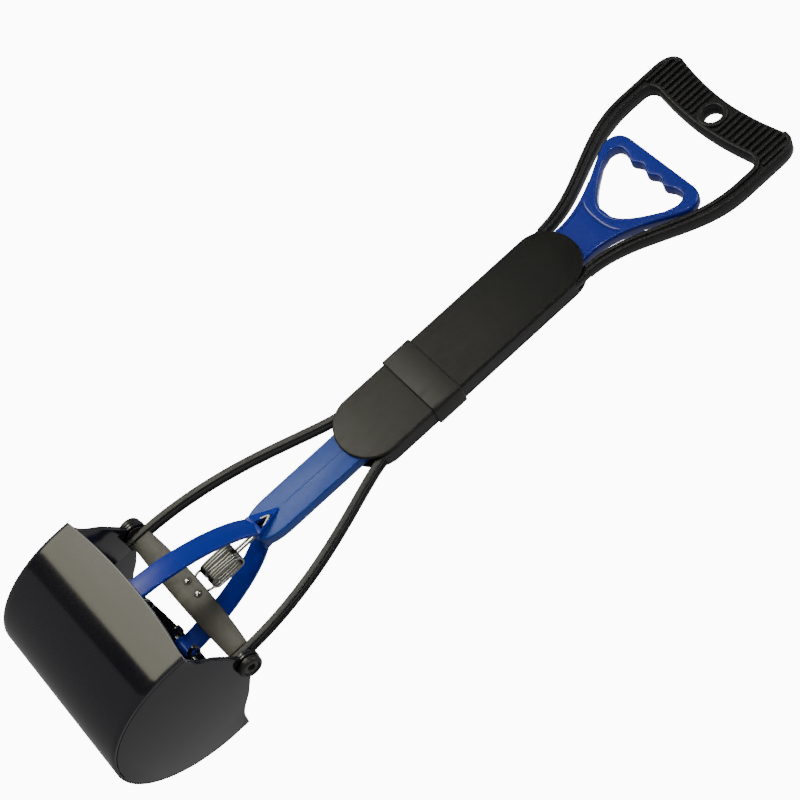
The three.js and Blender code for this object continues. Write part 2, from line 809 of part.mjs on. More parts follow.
function lowerRod() {
  const deep = rodHalfDepth + overrun;
  const hookHalfWidth = wireGapHalf + wireRadius + runGap;
  const hookHalfDepth = wireRadius + runGap;
  const opening = new THREE.Shape();
  opening.moveTo(-hookWindowHalfWidth, hookWindowBottom);
  opening.lineTo(hookWindowHalfWidth, hookWindowBottom);
  opening.lineTo(0, hookWindowTop);
  const slotTop = hookWindowBottom + runGap;
  const slot = block(-hookHalfWidth, hookHalfWidth, -hookHalfDepth, hookHalfDepth, rodEnd - overrun, slotTop);
  let body = alongY(lowerRodOutline(), -rodHalfDepth, rodHalfDepth)
    .subtract(alongY(opening, -deep, deep))
    .subtract(slot)
    .add(rodRamp(-1, -rodKnuckleCore, rodKnuckleCore));
  body = hinged(body, [[0, rodKnuckleCore]], [[rodKnuckleCore, rodHalfWidth + overrun]]);
  return pinBore(body, 0, rodKnuckleHalfWidth + overrun);
}

function armCurve() {
  const rise = armRootZ - armFootZ;
  const at = ([yShare, zShare]) => new THREE.Vector2(armFootY * yShare, armFootZ + rise * zShare);
  const root = new THREE.Vector2(rodHalfDepth + armRootLift, armRootZ);
  const foot = new THREE.Vector2(armFootY, armFootZ);
  return new THREE.CubicBezierCurve(root, at(armShoulderShares), at(armElbowShares), foot);
}

// Front view of an arm: a point high on the rod, a strap, and a wider eye for the pin.
function armPlan() {
  const half = new THREE.Path();
  const eyeTop = armFootZ + armEyeRadius;
  const bottom = armFootZ - armEyeRadius - overrun;
  half.moveTo(0, armApex);
  half.lineTo(armApexHalfWidth, armApex);
  half.lineTo(armHalfWidth, armRootZ);
  half.lineTo(armHalfWidth, eyeTop);
  half.lineTo(armEyeHalfWidth, eyeTop);
  half.lineTo(armEyeHalfWidth, bottom);
  half.lineTo(0, bottom);
  return mirroredShape(half.getPoints(curveSteps));
}

function arm(side) {
  const half = armThickness / 2;
  const face = rodHalfDepth + seam;
  const gusset = new THREE.Shape();
  gusset.moveTo(side * face, armApex);
  gusset.lineTo(side * (face + armGussetReach), armRootZ);
  gusset.lineTo(side * (face + armGussetReach), armRootZ - armThickness);
  gusset.lineTo(side * face, armHeel);
  const wide = armEyeHalfWidth;
  const deep = armFootY + armEyeRadius + overrun;
  const nearRod = side > 0 ? [-overrun, face] : [-face, overrun];
  return alongX(stripShape(armCurve(), -half, half, side), -wide, wide)
    .subtract(block(-wide - overrun, wide + overrun, ...nearRod, armFootZ, armApex))
    .add(alongX(gusset, -wide, wide))
    .add(roundX(side * armFootY, armFootZ, armEyeRadius, -wide, wide))
    .intersect(alongY(armPlan(), -deep, deep))
    .subtract(roundX(side * armFootY, armFootZ, armPinRadius + seam, -wide - overrun, wide + overrun));
}

// Points of a half outline of a shell, a given distance inside its outer face.
function shellArc(side, inset) {
  const points = [];
  for (let i = 0; i <= jawSteps; i++) {
    const angle = (i / jawSteps) * (Math.PI / 2);
    const y = side * (jawHalfDepth - inset) * Math.cos(angle);
    points.push(new THREE.Vector2(y, -jawStraight - (jawRound - inset) * Math.sin(angle)));
  }
  return points;
}

function shellPanel(side) {
  const top = -jawTopMiddle;
  const outer = [new THREE.Vector2(side * jawHalfDepth, top), ...shellArc(side, 0)];
  const inner = [new THREE.Vector2(side * (jawHalfDepth - jawWall), top), ...shellArc(side, jawWall)];
  const panel = new THREE.Shape([...outer, ...inner.reverse()]);
  const half = new THREE.Path();
  const bottom = -jawStraight - jawRound - overrun;
  half.moveTo(0, bottom);
  half.lineTo(jawHalfWidth, bottom);
  half.lineTo(jawHalfWidth, -jawTopSide);
  half.quadraticCurveTo(jawHalfWidth / 2, -jawTopMiddle, 0, -jawTopMiddle);
  const front = mirroredShape(half.getPoints(curveSteps));
  const deep = jawHalfDepth + overrun;
  const lip = lipGap / 2;
  const wide = jawHalfWidth + overrun;
  return alongX(panel, -jawHalfWidth, jawHalfWidth)
    .intersect(alongY(front, -deep, deep))
    .subtract(block(-wide, wide, -lip, lip, bottom, 0));
}

// Top edge of an end cap, from the panel up to the ear.
function capTop(side, edge) {
  const at = ([yShare, zShare]) => new THREE.Vector2(side * jawHalfDepth * yShare, -jawTopSide * zShare);
  const corner = new THREE.Vector2(side * edge, -jawTopSide);
  const curve = new THREE.CubicBezierCurve(
    corner,
    at(capShoulderShares),
    at(capNeckShares),
    at(capSlopeShares),
  );
  const ear = new THREE.Vector2((side * earRadius) / Math.SQRT2, 0);
  return [...curve.getPoints(curveSteps), ear];
}

// An end cap with its ear. It joins its own panel and stays clear of the other one.
function cap(side, xFrom, xTo, reach) {
  const ownEdge = jawHalfDepth - jawWall / 2;
  const otherInset = jawWall + capClearance;
  const own = [...capTop(side, ownEdge).reverse(), ...shellArc(side, jawWall / 2)];
  const other = [...capTop(-side, jawHalfDepth - otherInset).reverse(), ...shellArc(-side, otherInset)];
  const outline = new THREE.Shape([...own, ...other.reverse()]);
  const bottom = -jawStraight - jawRound;
  const limits = side > 0 ? [-reach, jawHalfDepth] : [-jawHalfDepth, reach];
  const bore = roundX(0, 0, pivotRadius + seam, xFrom - overrun, xTo + overrun);
  return alongX(outline, xFrom, xTo)
    .intersect(block(xFrom - overrun, xTo + overrun, ...limits, bottom, earRadius))
    .add(roundX(0, 0, earRadius, xFrom, xTo, roundSteps))
    .subtract(bore);
}

// A slotted lug on the inner face, which takes one end of an arm pin.
function lug(side, xFrom, xTo) {
  const lean = Math.atan2(armFootZ, armFootY);
  const half = lugSlotHalfWidth + lugWall;
  const reach = jawHalfDepth / Math.cos(lean) + half;
  const turned = (path) =>
    new THREE.Shape(
      path.getPoints(curveSteps).map((p) => {
        const y = p.x * Math.cos(lean) - p.y * Math.sin(lean);
        return new THREE.Vector2(side * y, p.x * Math.sin(lean) + p.y * Math.cos(lean));
      }),
    );
  const plate = new THREE.Path();
  plate.absarc(lugInner, 0, half, Math.PI / 2, -Math.PI / 2, false);
  plate.lineTo(reach, -half);
  plate.lineTo(reach, half);
  const slot = new THREE.Path();
  slot.absarc(lugInner, 0, lugSlotHalfWidth, Math.PI / 2, -Math.PI / 2, false);
  slot.absarc(lugOuter, 0, lugSlotHalfWidth, -Math.PI / 2, Math.PI / 2, false);
  const outside = jawHalfDepth - jawWall / 2;
  const beyond = side > 0 ? [outside, 2 * outside] : [-2 * outside, -outside];
  return alongX(turned(plate), xFrom, xTo)
    .subtract(alongX(turned(slot), xFrom - overrun, xTo + overrun))
    .subtract(block(xFrom - overrun, xTo + overrun, ...beyond, -2 * outside, 0));
}

function shell(side, capFrom, capTo, reach) {
  let body = shellPanel(side);
  for (const end of sides) {
    body = body.add(cap(side, ...span(end, capFrom, capTo), reach));
    body = body.add(lug(side, ...span(end, lugFrom, lugTo)));
  }
  return body;
}

function crossPlate() {
  const half = new THREE.Path();
  half.moveTo(0, -strapBottomMiddle);
  half.quadraticCurveTo(strapHalfLength / 2, -strapBottomMiddle, strapHalfLength, -strapBottomEnd);
  half.lineTo(strapHalfLength, strapTopEnd);
  half.quadraticCurveTo(strapHalfLength / 2, strapTopMiddle, 0, strapTopMiddle);
  const web = mirroredShape(half.getPoints(curveSteps));
  let plate = alongY(web, -strapFront, strapThickness - strapFront);
  const tabRear = strapTabLength - strapFront;
  const tabInner = strapHalfLength - strapThickness;
  for (const side of sides) {
    const x = span(side, tabInner, strapHalfLength);
    const bore = span(side, tabInner - overrun, strapHalfLength + overrun);
    const hole = [side * springHoleX, springHoleZ, wireRadius + seam];
    plate = plate
      .add(block(...x, -strapFront, tabRear, -strapBottomEnd, strapBottomEnd))
      .subtract(roundX(0, 0, pivotRadius + seam, ...bore))
      .subtract(roundY(...hole, -strapFront - overrun, overrun - strapFront));
  }
  return plate;
}

function pivotBolt(side) {
  const headFrom = jawHalfWidth + seam;
  const headTo = headFrom + boltHeadLength;
  const tip = strapHalfLength - strapThickness - boltSpare;
  const dish = span(side, headTo - boltDishDepth, headTo + overrun);
  const socket = span(side, headTo - boltSocketDepth, headTo + overrun);
  return roundX(0, 0, boltHeadRadius, ...span(side, headFrom, headTo), roundSteps)
    .add(roundX(0, 0, pivotRadius, ...span(side, tip, headFrom + seam)))
    .subtract(roundX(0, 0, boltDishRadius, ...dish, roundSteps))
    .subtract(roundX(0, 0, boltSocketRadius, ...socket, hexSides));
}

function washer(side) {
  const x = span(side, washerFrom, washerFrom + washerThickness);
  const bore = span(side, washerFrom - overrun, washerFrom + washerThickness + overrun);
  return roundX(0, 0, washerRadius, ...x, roundSteps).subtract(roundX(0, 0, pivotRadius + seam, ...bore));
}

function coverScrew(x, z) {
  const headFrom = housingHalfDepth - screwHeadLength - seam;
  const headTo = housingHalfDepth - seam;
  const tip = screwTip + seam - housingHalfDepth;
  return roundY(x, z, screwHeadRadius, headFrom, headTo)
    .add(roundY(x, z, screwRadius, tip, headFrom + seam))
    .subtract(roundY(x, z, screwSocketRadius, headTo - screwSocketDepth, headTo + overrun, hexSides));
}

// Points of a bend between two straight stretches, seen in Y and Z.
function bend(x, y, z, radius, fromAngle, toAngle) {
  const points = [];
  for (let i = 0; i <= bendSteps; i++) {
    const angle = fromAngle + ((toAngle - fromAngle) * i) / bendSteps;
    points.push(new THREE.Vector3(x, y + radius * Math.cos(angle), z + radius * Math.sin(angle)));
  }
  return points;
}

// The left half of the spring's wire: tip in the strap's hole, leg, coil, and half of the hook.
function springHalf() {
  const quarter = Math.PI / 2;
  const tip = new THREE.Vector3(-springHoleX, -strapFront - wirePoke, springHoleZ);
  const points = [tip, ...bend(-springHoleX, -bendRadius, springHoleZ + bendRadius, bendRadius, -quarter, 0)];
  const turnAngle = bendRadius / coilHalfDepth;
  const coilBottom = coilHeight - coilHalfHeight;
  points.push(...bend(-coilStackHalf, bendRadius, coilBottom - bendRadius, bendRadius, Math.PI, quarter));
  const sweep = coilTurns * 2 * Math.PI;
  const steps = coilTurns * curlSteps;
  for (let i = 1; i < steps; i++) {
    const share = i / steps;
    const angle = share * sweep - quarter + turnAngle * (1 - 2 * share);
    const x = share * coilTurns * coilPitch - coilStackHalf;
    const rise = THREE.MathUtils.clamp(Math.sin(angle) / coilFlankShare, -1, 1) * coilFlank;
    const z = coilHeight + rise + coilHalfDepth * Math.sin(angle);
    points.push(new THREE.Vector3(x, coilHalfDepth * Math.cos(angle), z));
  }
  const coilTop = coilHeight + coilHalfHeight;
  points.push(...bend(-wireGapHalf, bendRadius, coilTop + bendRadius, bendRadius, -quarter, -Math.PI));
  const hookZ = hookWindowBottom + wireRadius + seam;
  points.push(...bend(-wireGapHalf, -bendRadius, hookZ - bendRadius, bendRadius, 0, quarter));
  const turned = wireGapHalf * Math.SQRT1_2;
  points.push(new THREE.Vector3(-wireGapHalf, -hookReach, hookZ));
  points.push(new THREE.Vector3(-turned, -hookReach - turned, hookZ));
  return points;
}

// One unbroken tube along the points, with flat ends.
function tube(points, radius) {
  const positions = [];
  const index = [];
  const last = points.length - 1;
  let normal = new THREE.Vector3(1, 0, 0);
  points.forEach((point, i) => {
    const before = points[Math.max(0, i - 1)];
    const after = points[Math.min(last, i + 1)];
    const direction = after.clone().sub(before).normalize();
    normal = normal.clone().addScaledVector(direction, -normal.dot(direction)).normalize();
    const across = new THREE.Vector3().crossVectors(direction, normal);
    for (let k = 0; k < wireSides; k++) {
      const angle = (2 * Math.PI * k) / wireSides;
      const corner = point.clone().addScaledVector(normal, radius * Math.cos(angle));
      corner.addScaledVector(across, radius * Math.sin(angle));
      positions.push(...corner.toArray());
    }
  });
  const ring = (i, k) => i * wireSides + (k % wireSides);
  for (let i = 0; i < last; i++) {
    for (let k = 0; k < wireSides; k++) {
      index.push(ring(i, k), ring(i, k + 1), ring(i + 1, k));
      index.push(ring(i, k + 1), ring(i + 1, k + 1), ring(i + 1, k));
    }
  }
  for (let k = 1; k < wireSides - 1; k++) {
    index.push(ring(0, 0), ring(0, k + 1), ring(0, k));
    index.push(ring(last, 0), ring(last, k), ring(last, k + 1));
  }
  const geometry = new THREE.BufferGeometry();
  geometry.setAttribute("position", new THREE.Float32BufferAttribute(positions, 3));
  geometry.setIndex(index);
  return solidFrom(geometry);
}

// The least free space between stretches of the wire that are not neighbours along it.
function leastGap(points, radius) {
  let least = Infinity;
  points.forEach((a, i) => {
    let along = 0;
    for (let j = i + 1; j < points.length; j++) {
      along += points[j].distanceTo(points[j - 1]);
      if (along > 4 * bendRadius) least = Math.min(least, points[j].distanceTo(a) - 2 * radius);
    }
  });
  return least;
}

function returnSpring() {
  const left = springHalf();
  const right = left.map((p) => new THREE.Vector3(-p.x, p.y, p.z)).reverse();
  const points = [...left, ...right];
  console.log("return spring: least gap to itself " + leastGap(points, wireRadius).toFixed(2) + " mm");
  return tube(points, wireRadius);
}

place("upper_frame", upperFrame(), blackPlastic);
place("upper_cover", coverSolid(upperEnd, 1, upperCoverStraight, upperScrews), blackPlastic);
place("lower_frame", lowerFrame(), blackPlastic);
place("lower_cover", coverSolid(lowerEnd, -1, lowerCoverStraight, lowerScrews), blackPlastic);
place("lock_collar", collar(), blackPlastic);
place("pull_handle", pullHandle(), bluePlastic);
place("lower_rod", lowerRod(), bluePlastic);
place("front_arm", arm(-1), bluePlastic);
place("rear_arm", arm(1), bluePlastic);
place("front_shell", shell(-1, frontCapFrom, frontCapTo, capOverlap), shellPlastic);
place("rear_shell", shell(1, rearCapFrom, jawHalfWidth, jawHalfDepth), shellPlastic);
place("cross_plate", crossPlate(), blackSteel);
place("return_spring", returnSpring(), brightSteel);

const rodPinHalf = rodKnuckleHalfWidth - seam;
place("rod_pin", roundX(foldY, foldHeight, foldPinRadius, -rodPinHalf, rodPinHalf), brightSteel);
const armPinHalf = lugTo + armPinSpare;
const armPin = (y) => roundX(y, armFootZ, armPinRadius, -armPinHalf, armPinHalf);
place("front_arm_pin", armPin(-armFootY), brightSteel);
place("rear_arm_pin", armPin(armFootY), brightSteel);

for (const side of sides) {
  const label = side < 0 ? "left" : "right";
  const pinEnds = span(side, channelHalfWidth + seam, housingHalfWidth - seam);
  place("fold_pin_" + label, roundX(foldY, foldHeight, foldPinRadius, ...pinEnds), brightSteel);
  place("pivot_bolt_" + label, pivotBolt(side), blackSteel);
  place("pivot_washer_" + label, washer(side), blackSteel);
  place("lower_cover_screw_" + label, coverScrew(side * screwX, lowerScrews[0]), blackSteel);
  place("upper_cover_screw_low_" + label, coverScrew(side * screwX, upperScrews[0]), blackSteel);
  place("upper_cover_screw_high_" + label, coverScrew(side * screwX, upperScrews[1]), blackSteel);
}

group.position.z = -hangHeight;

export default group;
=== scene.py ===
import bmesh
import bpy
import math
from mathutils import Euler, Matrix, Vector


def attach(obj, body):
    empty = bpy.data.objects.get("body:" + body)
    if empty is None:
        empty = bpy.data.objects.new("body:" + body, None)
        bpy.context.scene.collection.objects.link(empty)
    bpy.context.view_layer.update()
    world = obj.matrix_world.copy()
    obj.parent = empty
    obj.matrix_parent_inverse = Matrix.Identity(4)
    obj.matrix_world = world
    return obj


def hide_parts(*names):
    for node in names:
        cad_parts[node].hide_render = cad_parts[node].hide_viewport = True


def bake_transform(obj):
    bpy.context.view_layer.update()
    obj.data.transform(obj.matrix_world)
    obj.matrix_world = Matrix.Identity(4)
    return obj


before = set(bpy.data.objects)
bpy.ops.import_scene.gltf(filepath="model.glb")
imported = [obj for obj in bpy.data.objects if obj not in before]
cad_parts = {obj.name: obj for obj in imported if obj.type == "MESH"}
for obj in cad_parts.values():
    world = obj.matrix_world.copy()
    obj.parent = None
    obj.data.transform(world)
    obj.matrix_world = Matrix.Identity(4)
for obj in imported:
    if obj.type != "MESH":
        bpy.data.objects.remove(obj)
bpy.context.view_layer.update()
print("frame loaded")

# Lengths are in mm and heights start at the pivot bolts, until a piece is placed in the frame
hang = 472.8  # height of the hang hole, where the frame has its origin
mm = 0.001
quarter = math.pi / 2
sides = ((-1, "left"), (1, "right"))


def share(value, start, span):  # how much of a span is behind, 0 to 1
    return min(1, max(0, (value - start) / span))


def turns(angle, steps):  # an angle in equal steps, both ends too
    return [angle * i / steps for i in range(steps + 1)]


def both(a, b):  # a stretch on the right and the same on the left
    return [(a, b), (-b, -a)]


def bez(*points, n=10):  # Bezier curve of any order
    out = []
    for i in range(n + 1):
        row = [Vector(p) for p in points]
        while len(row) > 1:
            row = [a.lerp(b, i / n) for a, b in zip(row, row[1:])]
        out.append(row[0])
    return out


def chain(*stretches):  # one run of points without doubled ones
    near = 0.02
    out = []
    for p in (Vector(q) for s in stretches for q in s):
        if not out or (p - out[-1]).length > near:
            out.append(p)
    return out[:-1] if (out[0] - out[-1]).length < near else out


def mirrored(half):  # closed outline from its right half, points in the middle stay single
    middle = 0.01
    return half + [Vector((-p.x, p.y)) for p in reversed(half) if p.x > middle]


def circle(radius, n=32, x=0, z=0):
    return [Vector((x + radius * math.cos(t), z + radius * math.sin(t))) for t in turns(2 * math.pi, n)[:-1]]


def cornerOf(a, p, b, radius, n):  # curve in place of the corner p between a and b
    most = 0.48  # of a side, so that two corners never meet
    a, b = a - p, b - p
    reach = min(radius, a.length * most, b.length * most)
    return bez(p + a.normalized() * reach, p, p + b.normalized() * reach, n=n)


def rounded(points, radius, n=4):  # closed outline with round corners
    points = [Vector(p) for p in points]
    before, after = points[-1:] + points[:-1], points[1:] + points[:1]
    return chain(*(cornerOf(a, p, b, radius, n) for a, p, b in zip(before, points, after)))


def roundedRun(points, radius, n=4):  # open run with round corners
    points = [Vector(p) for p in points]
    corners = [cornerOf(a, p, b, radius, n) for a, p, b in zip(points, points[1:], points[2:])]
    return points[:1] + [p for corner in corners for p in corner] + points[-1:]


def headings(run):
    last = len(run) - 1
    return [(run[min(i + 1, last)] - run[max(i - 1, 0)]).normalized() for i in range(last + 1)]


def offset(run, distance):  # an open run moved to its left
    return [p + Vector((-along.y, along.x)) * distance for p, along in zip(run, headings(run))]


def only(kind, geom):
    return [g for g in geom if isinstance(g, kind)]


def skinned(bm):
    bmesh.ops.recalc_face_normals(bm, faces=bm.faces[:])
    return bm


def reversedFaces(bm):
    bmesh.ops.reverse_faces(bm, faces=bm.faces[:])
    return bm


def plate(loops, front, rear, edge=0.0, steps=3):  # outlines in X and Z, given a thickness along Y
    bm = bmesh.new()
    edges = []
    flat = 0.05  # least flat part of half the thickness
    edge = min(edge, (rear - front) / 2 - flat)
    for loop in loops:
        verts = [bm.verts.new((p[0], rear - edge, p[1])) for p in loop]
        edges += [bm.edges.new((verts[i - 1], verts[i])) for i in range(len(verts))]
    faces = only(bmesh.types.BMFace, bmesh.ops.triangle_fill(bm, use_beauty=True, edges=edges)["geom"])
    made = bmesh.ops.extrude_face_region(bm, geom=faces)["geom"]
    moved = only(bmesh.types.BMVert, made)
    bmesh.ops.translate(bm, verts=moved, vec=(0, front - rear + 2 * edge, 0))
    skinned(bm)
    for cap in (faces, only(bmesh.types.BMFace, made)) if edge else ():
        arc = turns(quarter, steps)
        for a, b in zip(arc, arc[1:]):
            wide = edge * (math.cos(a) - math.cos(b))
            deep = edge * (math.sin(b) - math.sin(a))
            bmesh.ops.inset_region(bm, faces=cap, thickness=wide, depth=deep, use_even_offset=True,
                                   use_boundary=True)
    return bm


def upright(bm):  # swaps X and Y
    for v in bm.verts:
        v.co = (v.co.y, v.co.x, v.co.z)
    return skinned(bm)


def loft(rings, closed=False):  # skin over rings of points
    bm = bmesh.new()
    runs = []
    for ring in rings:
        verts = [bm.verts.new(p) for p in ring]
        runs.append([bm.edges.new((verts[i - 1], verts[i])) for i in range(len(verts))])
    for a, b in zip(runs, runs[1:]):
        bmesh.ops.bridge_loops(bm, edges=a + b)
    if closed:
        bmesh.ops.bridge_loops(bm, edges=runs[-1] + runs[0])
    else:
        bmesh.ops.edgeloop_fill(bm, edges=runs[0])
        bmesh.ops.edgeloop_fill(bm, edges=runs[-1])
    return skinned(bm)


def tube(points, radius, steps=12, closed=False):
    points = [Vector(p) for p in points]
    last = len(points) - 1
    steep = 0.7  # share of Y in a run's direction, past which its first normal is X
    arc = turns(2 * math.pi, steps)[:-1]
    rings = []
    normal = None
    for i, p in enumerate(points):
        after = points[(i + 1) % len(points)] if closed or i < last else p
        before = points[i - 1] if closed or i else p
        along = (after - before).normalized()
        normal = normal or Vector((1, 0, 0) if abs(along.y) > steep else (0, 1, 0))
        normal = (normal - along * normal.dot(along)).normalized()
        side = along.cross(normal)
        rings.append([p + radius * (normal * math.cos(t) + side * math.sin(t)) for t in arc])
    return loft(rings, closed)


def lathe(profile, steps=48):  # (place along X, radius) pairs spun about X
    bm = bmesh.new()
    verts = [bm.verts.new((x, 0, r)) for x, r in profile]
    edges = [bm.edges.new(pair) for pair in zip(verts, verts[1:])]
    bmesh.ops.spin(bm, geom=verts + edges, axis=(1, 0, 0), cent=(0, 0, 0), angle=2 * math.pi, steps=steps,
                   use_merge=True)
    bmesh.ops.remove_doubles(bm, verts=bm.verts[:], dist=0.001)
    return skinned(bm)


def barrel(a, b, radius, edge, bore=0, steps=32):  # cylinder along X with bevelled rims
    profile = [(a, bore), (a, radius - edge), (a + edge, radius)]
    profile += [(b - edge, radius), (b, radius - edge), (b, bore)]
    return lathe(profile + profile[:1] if bore else profile, steps)


def bevelled(bm, sharp, width):  # rounds the edges that turn by more than an angle
    edges = [e for e in bm.edges if e.calc_face_angle(0) > sharp]
    bmesh.ops.bevel(bm, geom=edges, offset=width, segments=2, profile=0.5, affect="EDGES", material=-1,
                    clamp_overlap=True)
    return bm


def shift(bm, x=0, y=0, z=0):
    bmesh.ops.translate(bm, verts=bm.verts[:], vec=(x, y, z))
    return bm


def joined(*parts):
    bm = bmesh.new()
    for part in parts:
        mesh = bpy.data.meshes.new("part")
        part.to_mesh(mesh)
        part.free()
        bm.from_mesh(mesh)
        bpy.data.meshes.remove(mesh)
    return bm


def sided(bm, side):  # a mesh made for the right, mirrored if it goes to the left
    if side > 0:
        return bm
    for v in bm.verts:
        v.co.x = -v.co.x
    return reversedFaces(bm)


def piece(name, bm, body, node, material):
    sharp = math.radians(35)
    for v in bm.verts:
        v.co = (v.co.x * mm, v.co.y * mm, (v.co.z - hang) * mm)
    mesh = bpy.data.meshes.new(name)
    bm.to_mesh(mesh)
    bm.free()
    mesh.shade_smooth()
    mesh.set_sharp_from_angle(angle=sharp)
    mesh.materials.append(material)
    obj = bpy.data.objects.new(name, mesh)
    bpy.context.scene.collection.objects.link(obj)
    if isinstance(body, tuple):
        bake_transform(obj)
    else:
        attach(obj, body)
    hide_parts(node)


class Wire:  # one shader socket, with its arithmetic
    def __init__(self, tree, socket=None):
        self.tree = tree
        self.socket = socket

    def node(self, kind, settings=None, values=None, out=0):
        made = self.tree.nodes.new(kind)
        for key, value in (settings or {}).items():
            setattr(made, key, value)
        for key, value in (values or {}).items():
            if isinstance(value, Wire):
                self.tree.links.new(value.socket, made.inputs[key])
            else:
                made.inputs[key].default_value = value
        return Wire(self.tree, made.outputs[out])

    def calc(self, operation, a, b):
        return self.node("ShaderNodeMath", {"operation": operation}, {0: a, 1: b})

    def __add__(self, other):
        return self.calc("ADD", self, other)

    def __sub__(self, other):
        return self.calc("SUBTRACT", self, other)

    def __rsub__(self, other):
        return self.calc("SUBTRACT", other, self)

    def __mul__(self, other):
        return self.calc("MULTIPLY", self, other)

    __radd__ = __add__
    __rmul__ = __mul__

    def spread(self, low, high, toLow=0.0, toHigh=1.0):  # remaps and clamps
        values = {"Value": self, "From Min": low, "From Max": high, "To Min": toLow, "To Max": toHigh}
        return self.node("ShaderNodeMapRange", {}, values)

    def mix(self, a, b):  # between two colours, in the node's sockets 6 and 7
        return self.node("ShaderNodeMix", {"data_type": "RGBA"}, {0: self, 6: a, 7: b}, 2)


# Looks: each finish has its colours over the common settings
plainLook = dict(
    broad=14, grain=1500, scratch=900, speck=420, streak=(1, 1, 0.1),  # scales of the patterns
    dullSpan=(0.35, 0.65), pointSpan=(0.52, 0.62), grainSpan=(0.35, 0.6), speckSpan=(0.0, 0.09, 1.0, 0.0),
    scratchSpan=(0.5, 0.62), rubSpan=(0.5, 0.75),
    wear=0.35, flecks=0.12, patch=0.08, rub=0.1, wornRough=0.08,  # strengths in colour and roughness
    bump=0.12, bumpDepth=0.0004, grainHeight=0.5, scratchHeight=0.15,
    metal=0, coat=0, coatRough=0.08, gloss=0.5,
)
housingLook = dict(
    plainLook, base=(0.0085, 0.0083, 0.0066), deep=(0.0058, 0.0057, 0.0046), edge=(0.07, 0.07, 0.06),
    rough=0.44, grain=2600, bump=0.1, gloss=0.4,
)
upperLook = dict(housingLook, gloss=0.2)
# The lower cover and the collar get the housing's black painted lighter: a painted sheen of the light on the
# lower part
lowerSheenLook = dict(housingLook, base=(0.0155, 0.015, 0.0115), deep=(0.0115, 0.011, 0.0085), gloss=0.36)
caseLook = dict(housingLook, base=(0.012, 0.012, 0.0115), deep=(0.008, 0.008, 0.008), rough=0.5)
gripLook = dict(
    plainLook, base=(0.0115, 0.0115, 0.0115), deep=(0.0075, 0.0075, 0.0075), edge=(0.045, 0.045, 0.042),
    rough=0.4, grain=2200, gloss=0.35,
)
blueLook = dict(
    plainLook, base=(0.0, 0.022, 0.36), deep=(0.0, 0.017, 0.31), edge=(0.02, 0.07, 0.42),
    rough=0.3, wear=0.15, flecks=0.01, patch=0.03, rub=0.01, bump=0.012, scratchHeight=0.02, coat=0.06,
    gloss=0.36,
)
handleLook = dict(blueLook, base=(0.0, 0.015, 0.3), deep=(0.0, 0.012, 0.26), coat=0.5)
# The rod's base and edge blues are painted lighter than the arms' blue: a painted sheen of the light on its
# front
rodSheenLook = dict(
    blueLook, base=(0.02, 0.075, 0.4), deep=(0.015, 0.06, 0.34), edge=(0.08, 0.17, 0.6),
    rough=0.34, gloss=0.22,
)
shellLook = dict(
    plainLook, base=(0.0125, 0.0122, 0.0165), deep=(0.0105, 0.0103, 0.0145), edge=(0.06, 0.06, 0.06),
    rough=0.13, wear=0.15, flecks=0.03, patch=0.03, rub=0.02, bump=0.015, scratchHeight=0.02, coat=0.3,
)
strapLook = dict(
    plainLook, base=(0.03, 0.0285, 0.024), deep=(0.019, 0.018, 0.0155), edge=(0.22, 0.2, 0.17),
    rough=0.36, streak=(0.1, 1, 1), bump=0.1, metal=0.5,
)
boltLook = dict(
    plainLook, base=(0.014, 0.014, 0.014), deep=(0.008, 0.008, 0.008), edge=(0.2, 0.2, 0.19),
    rough=0.35, wear=0.5, bump=0.1, metal=0.3,
)
brightLook = dict(
    plainLook, base=(0.4, 0.4, 0.37), deep=(0.3, 0.3, 0.28), edge=(0.85, 0.85, 0.82),
    rough=0.24, streak=(1, 1, 1), wear=0.1, flecks=0.01, rub=0.02, bump=0.015, metal=1,
)


def finishOf(name, look):
    material = bpy.data.materials.new(name)
    material.use_nodes = True
    tree = material.node_tree
    start = Wire(tree)

    def noise(at, scale, detail):
        return start.node("ShaderNodeTexNoise", {}, {"Vector": at, "Scale": look[scale], "Detail": detail})

    place = start.node("ShaderNodeTexCoord", out="Object")
    streaks = start.node("ShaderNodeMapping", {}, {"Vector": place, "Scale": look["streak"]})
    broad, grain, scratch = noise(place, "broad", 3), noise(place, "grain", 4), noise(streaks, "scratch", 5)
    speck = start.node("ShaderNodeTexVoronoi", {}, {"Vector": place, "Scale": look["speck"]})
    point = start.node("ShaderNodeNewGeometry", out="Pointiness")
    worn = point.spread(*look["pointSpan"]) * grain.spread(*look["grainSpan"])
    dull = broad.spread(*look["dullSpan"])
    fleck = speck.spread(*look["speckSpan"]) * scratch.spread(*look["scratchSpan"])
    deep, base, edge = ((*look[key], 1) for key in ("deep", "base", "edge"))
    colour = dull.mix(deep, base)
    colour = (worn * look["wear"]).mix(colour, edge)
    colour = (fleck * look["flecks"]).mix(colour, edge)
    rough = look["rough"] + (dull - 0.5) * look["patch"] + scratch.spread(*look["rubSpan"]) * look["rub"]
    rough = rough + worn * look["wornRough"]
    height = grain * look["grainHeight"] + scratch * look["scratchHeight"]
    relief = {"Strength": look["bump"], "Distance": look["bumpDepth"], "Height": height}
    bump = start.node("ShaderNodeBump", {}, relief)
    inputs = tree.nodes["Principled BSDF"].inputs
    for key, wire in (("Base Color", colour), ("Roughness", rough), ("Normal", bump)):
        tree.links.new(wire.socket, inputs[key])
    for key, value in (("Metallic", "metal"), ("Coat Weight", "coat"), ("Coat Roughness", "coatRough"),
                       ("Specular IOR Level", "gloss")):
        inputs[key].default_value = look[value]
    return material


